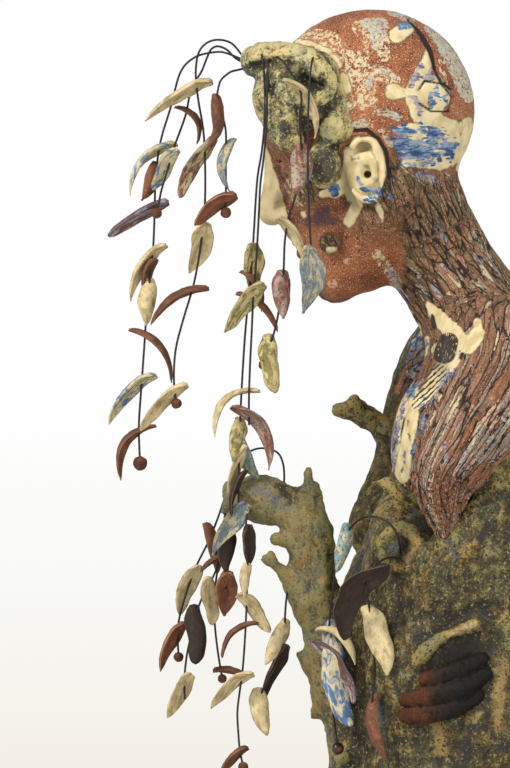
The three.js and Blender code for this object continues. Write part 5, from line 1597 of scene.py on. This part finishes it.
def leafMaterial(name, base, second, third, patchesFrom, specksFrom):
    material, tree = newMaterial(name + "_leaf_clay")
    place = readField(tree, "place", True)
    local = addNode(tree, "VectorMath", place, (0.35, 1.0, 0.0), operation="MULTIPLY")
    world = addNode(tree, "TexCoord").outputs["Object"]
    # Patches run along the leaf. The place where it hangs picks its stretch of the pattern.
    moved = addNode(tree, "VectorMath", world, (80.0, 80.0, 80.0), local, operation="MULTIPLY_ADD")
    patch = addNode(tree, "TexNoise", Vector=moved, Scale=0.26, Detail=5, Roughness=0.62, Distortion=0.9)
    color = blend(tree, sharp(tree, patch, patchesFrom, 0.05), base, second)
    speck = addNode(tree, "TexNoise", Vector=world, Scale=perMm(1.4), Detail=3, Roughness=0.65)
    color = blend(tree, sharp(tree, speck, specksFrom, 0.06), color, third)
    # Toward the rim each leaf takes its third tone
    rimward = addNode(tree, "SeparateXYZ", place).outputs["Z"]
    rim = addNode(tree, "MULTIPLY", sharp(tree, rimward, 0.92, 0.08), 0.6)
    color = blend(tree, rim, color, third)
    shading = addNode(tree, "TexNoise", Vector=world, Scale=perMm(6), Detail=4)
    tint = addNode(tree, "MapRange", Value=shading, From_Min=0.3, From_Max=0.7, To_Min=0.62, To_Max=1.15)
    color = addNode(tree, "VectorMath", color, Scale=tint, operation="SCALE")
    rough = 0.22 if name == "glazed" else 0.75
    finishMaterial(tree, color, rough, speck, 0.3, IOR=1.5)
    return material


def wireMaterial():  # soft iron wire, black with the scale of its annealing
    material, tree = newMaterial("black_annealed_iron")
    place = addNode(tree, "TexCoord").outputs["Object"]
    scale = addNode(tree, "TexNoise", Vector=place, Scale=perMm(wireLook["scaleSize"]), Detail=3)
    color = addNode(tree, "ValToRGB", scale, stops=[(0.3, wireLook["dark"]), (0.7, wireLook["pale"])])
    finishMaterial(tree, color, wireLook["roughness"], scale, 0.05, spread=wireLook["uneven"],
                   Metallic=wireLook["metal"])
    return material


skin.data.materials.append(skinMaterial())
bark.data.materials.append(barkMaterial("dry_ash_glaze", glaze, 0.12))
burrGlaze = {
    **glaze, "dark": "#2a2a24", "pool": "#3f4038", "mid": "#625f4a", "thin": "#959070", "ridge": "#cbc49a",
    "mottling": ((20, 3, 0.62), (8, 4, 0.32), (2.2, 3, 0.22), (1.1, 2, 0.32)), "level": -0.24,
    "paler": 0.01, "tints": [(0.36, "#ccd6da"), (0.46, "#d8dccf"), (0.54, "#e2dec6"), (0.66, "#e8dab8")],
    "gain": 1.36, "frost": 0.64, "pits": 0.655, "limbPits": 0.8, "limbGrey": 0.0, "bump": 1.2}
burr.data.materials.append(barkMaterial("thick_ash_glaze", burrGlaze, 0.2))
hand.data.materials.append(fingerMaterial())
for piece in (bark, burr):
    for layer, strokes in barkPatches.items():
        writeField(piece.data, layer, patchDepth(pointsOf(piece.data), strokes))
clayFinishes = {name: leafMaterial(name, *look) for name, look in leafClays.items()}
for piece, clayName in leafPieces:
    piece.data.materials.append(clayFinishes[clayName])
iron = wireMaterial()
for wire, _, _ in strung.values():
    wire.data.materials.append(iron)
print("materials mixed")


# Stage: a pale round floor, a white studio round it and two soft lights
stage = {"radius": 3.4, "floor": "#d9d7d3", "key": 92, "fill": 30, "warm": "#ffeedb"}
# Elevation in degrees and tone: the paper sweep behind the figure is warm below and white above
studio = [(-12, "#dcdad5"), (-3.4, "#f2ede4"), (-2.1, "#f4f0e8"), (-1.1, "#f9f9f6"), (-0.2, "#fefefe"),
          (5, "#ffffff"), (14, "#b9bbbe")]


def paleFloor():
    around = 96
    points = [(stage["radius"] * math.cos(2 * math.pi * k / around),
               stage["radius"] * math.sin(2 * math.pi * k / around), -0.0004) for k in range(around)]
    mesh = bpy.data.meshes.new("pale_floor")
    mesh.from_pydata(points, [], [tuple(range(around))])
    floor = putIn("pale_floor", mesh)
    material, tree = newMaterial("pale_floor")
    shader = addNode(tree, "BsdfPrincipled", Base_Color=stage["floor"], Roughness=0.9)
    addNode(tree, "OutputMaterial", Surface=shader)
    mesh.materials.append(material)


def paperSweep():
    world = bpy.data.worlds.new("paper_sweep")
    world.use_nodes = True
    tree = world.node_tree
    tree.nodes.clear()
    way = addNode(tree, "TexCoord").outputs["Generated"]
    height = addNode(tree, "SeparateXYZ", way).outputs["Z"]
    heights = [math.sin(math.radians(angle)) for angle, _ in studio]
    low, high = heights[0], heights[-1]
    share = addNode(tree, "MapRange", Value=height, From_Min=low, From_Max=high)
    stops = [((z - low) / (high - low), code) for z, (_, code) in zip(heights, studio)]
    tone = addNode(tree, "ValToRGB", share, stops=stops)
    light = addNode(tree, "Background", Color=tone)
    addNode(tree, "OutputWorld", Surface=light)
    bpy.context.scene.world = world


def softLight(name, place, aim, size, power):
    data = bpy.data.lights.new(name, "AREA")
    data.shape = "SQUARE"
    data.size = size
    data.energy = power
    data.color = linearColor(stage["warm"])[:3]
    light = putIn(name, data)
    light.location = place
    light.rotation_euler = (Vector(aim) - Vector(place)).to_track_quat("-Z", "Y").to_euler()
    light.visible_camera = False


paleFloor()
paperSweep()
softLight("key_softbox", (1.7, -1.9, 2.6), (0, 0, 0.35), 1.3, stage["key"])
softLight("fill_softbox", (2.4, 2.0, 1.0), (0, 0, 0.3), 1.6, stage["fill"])
bpy.context.scene.view_settings.view_transform = "Standard"
print("stage lit")
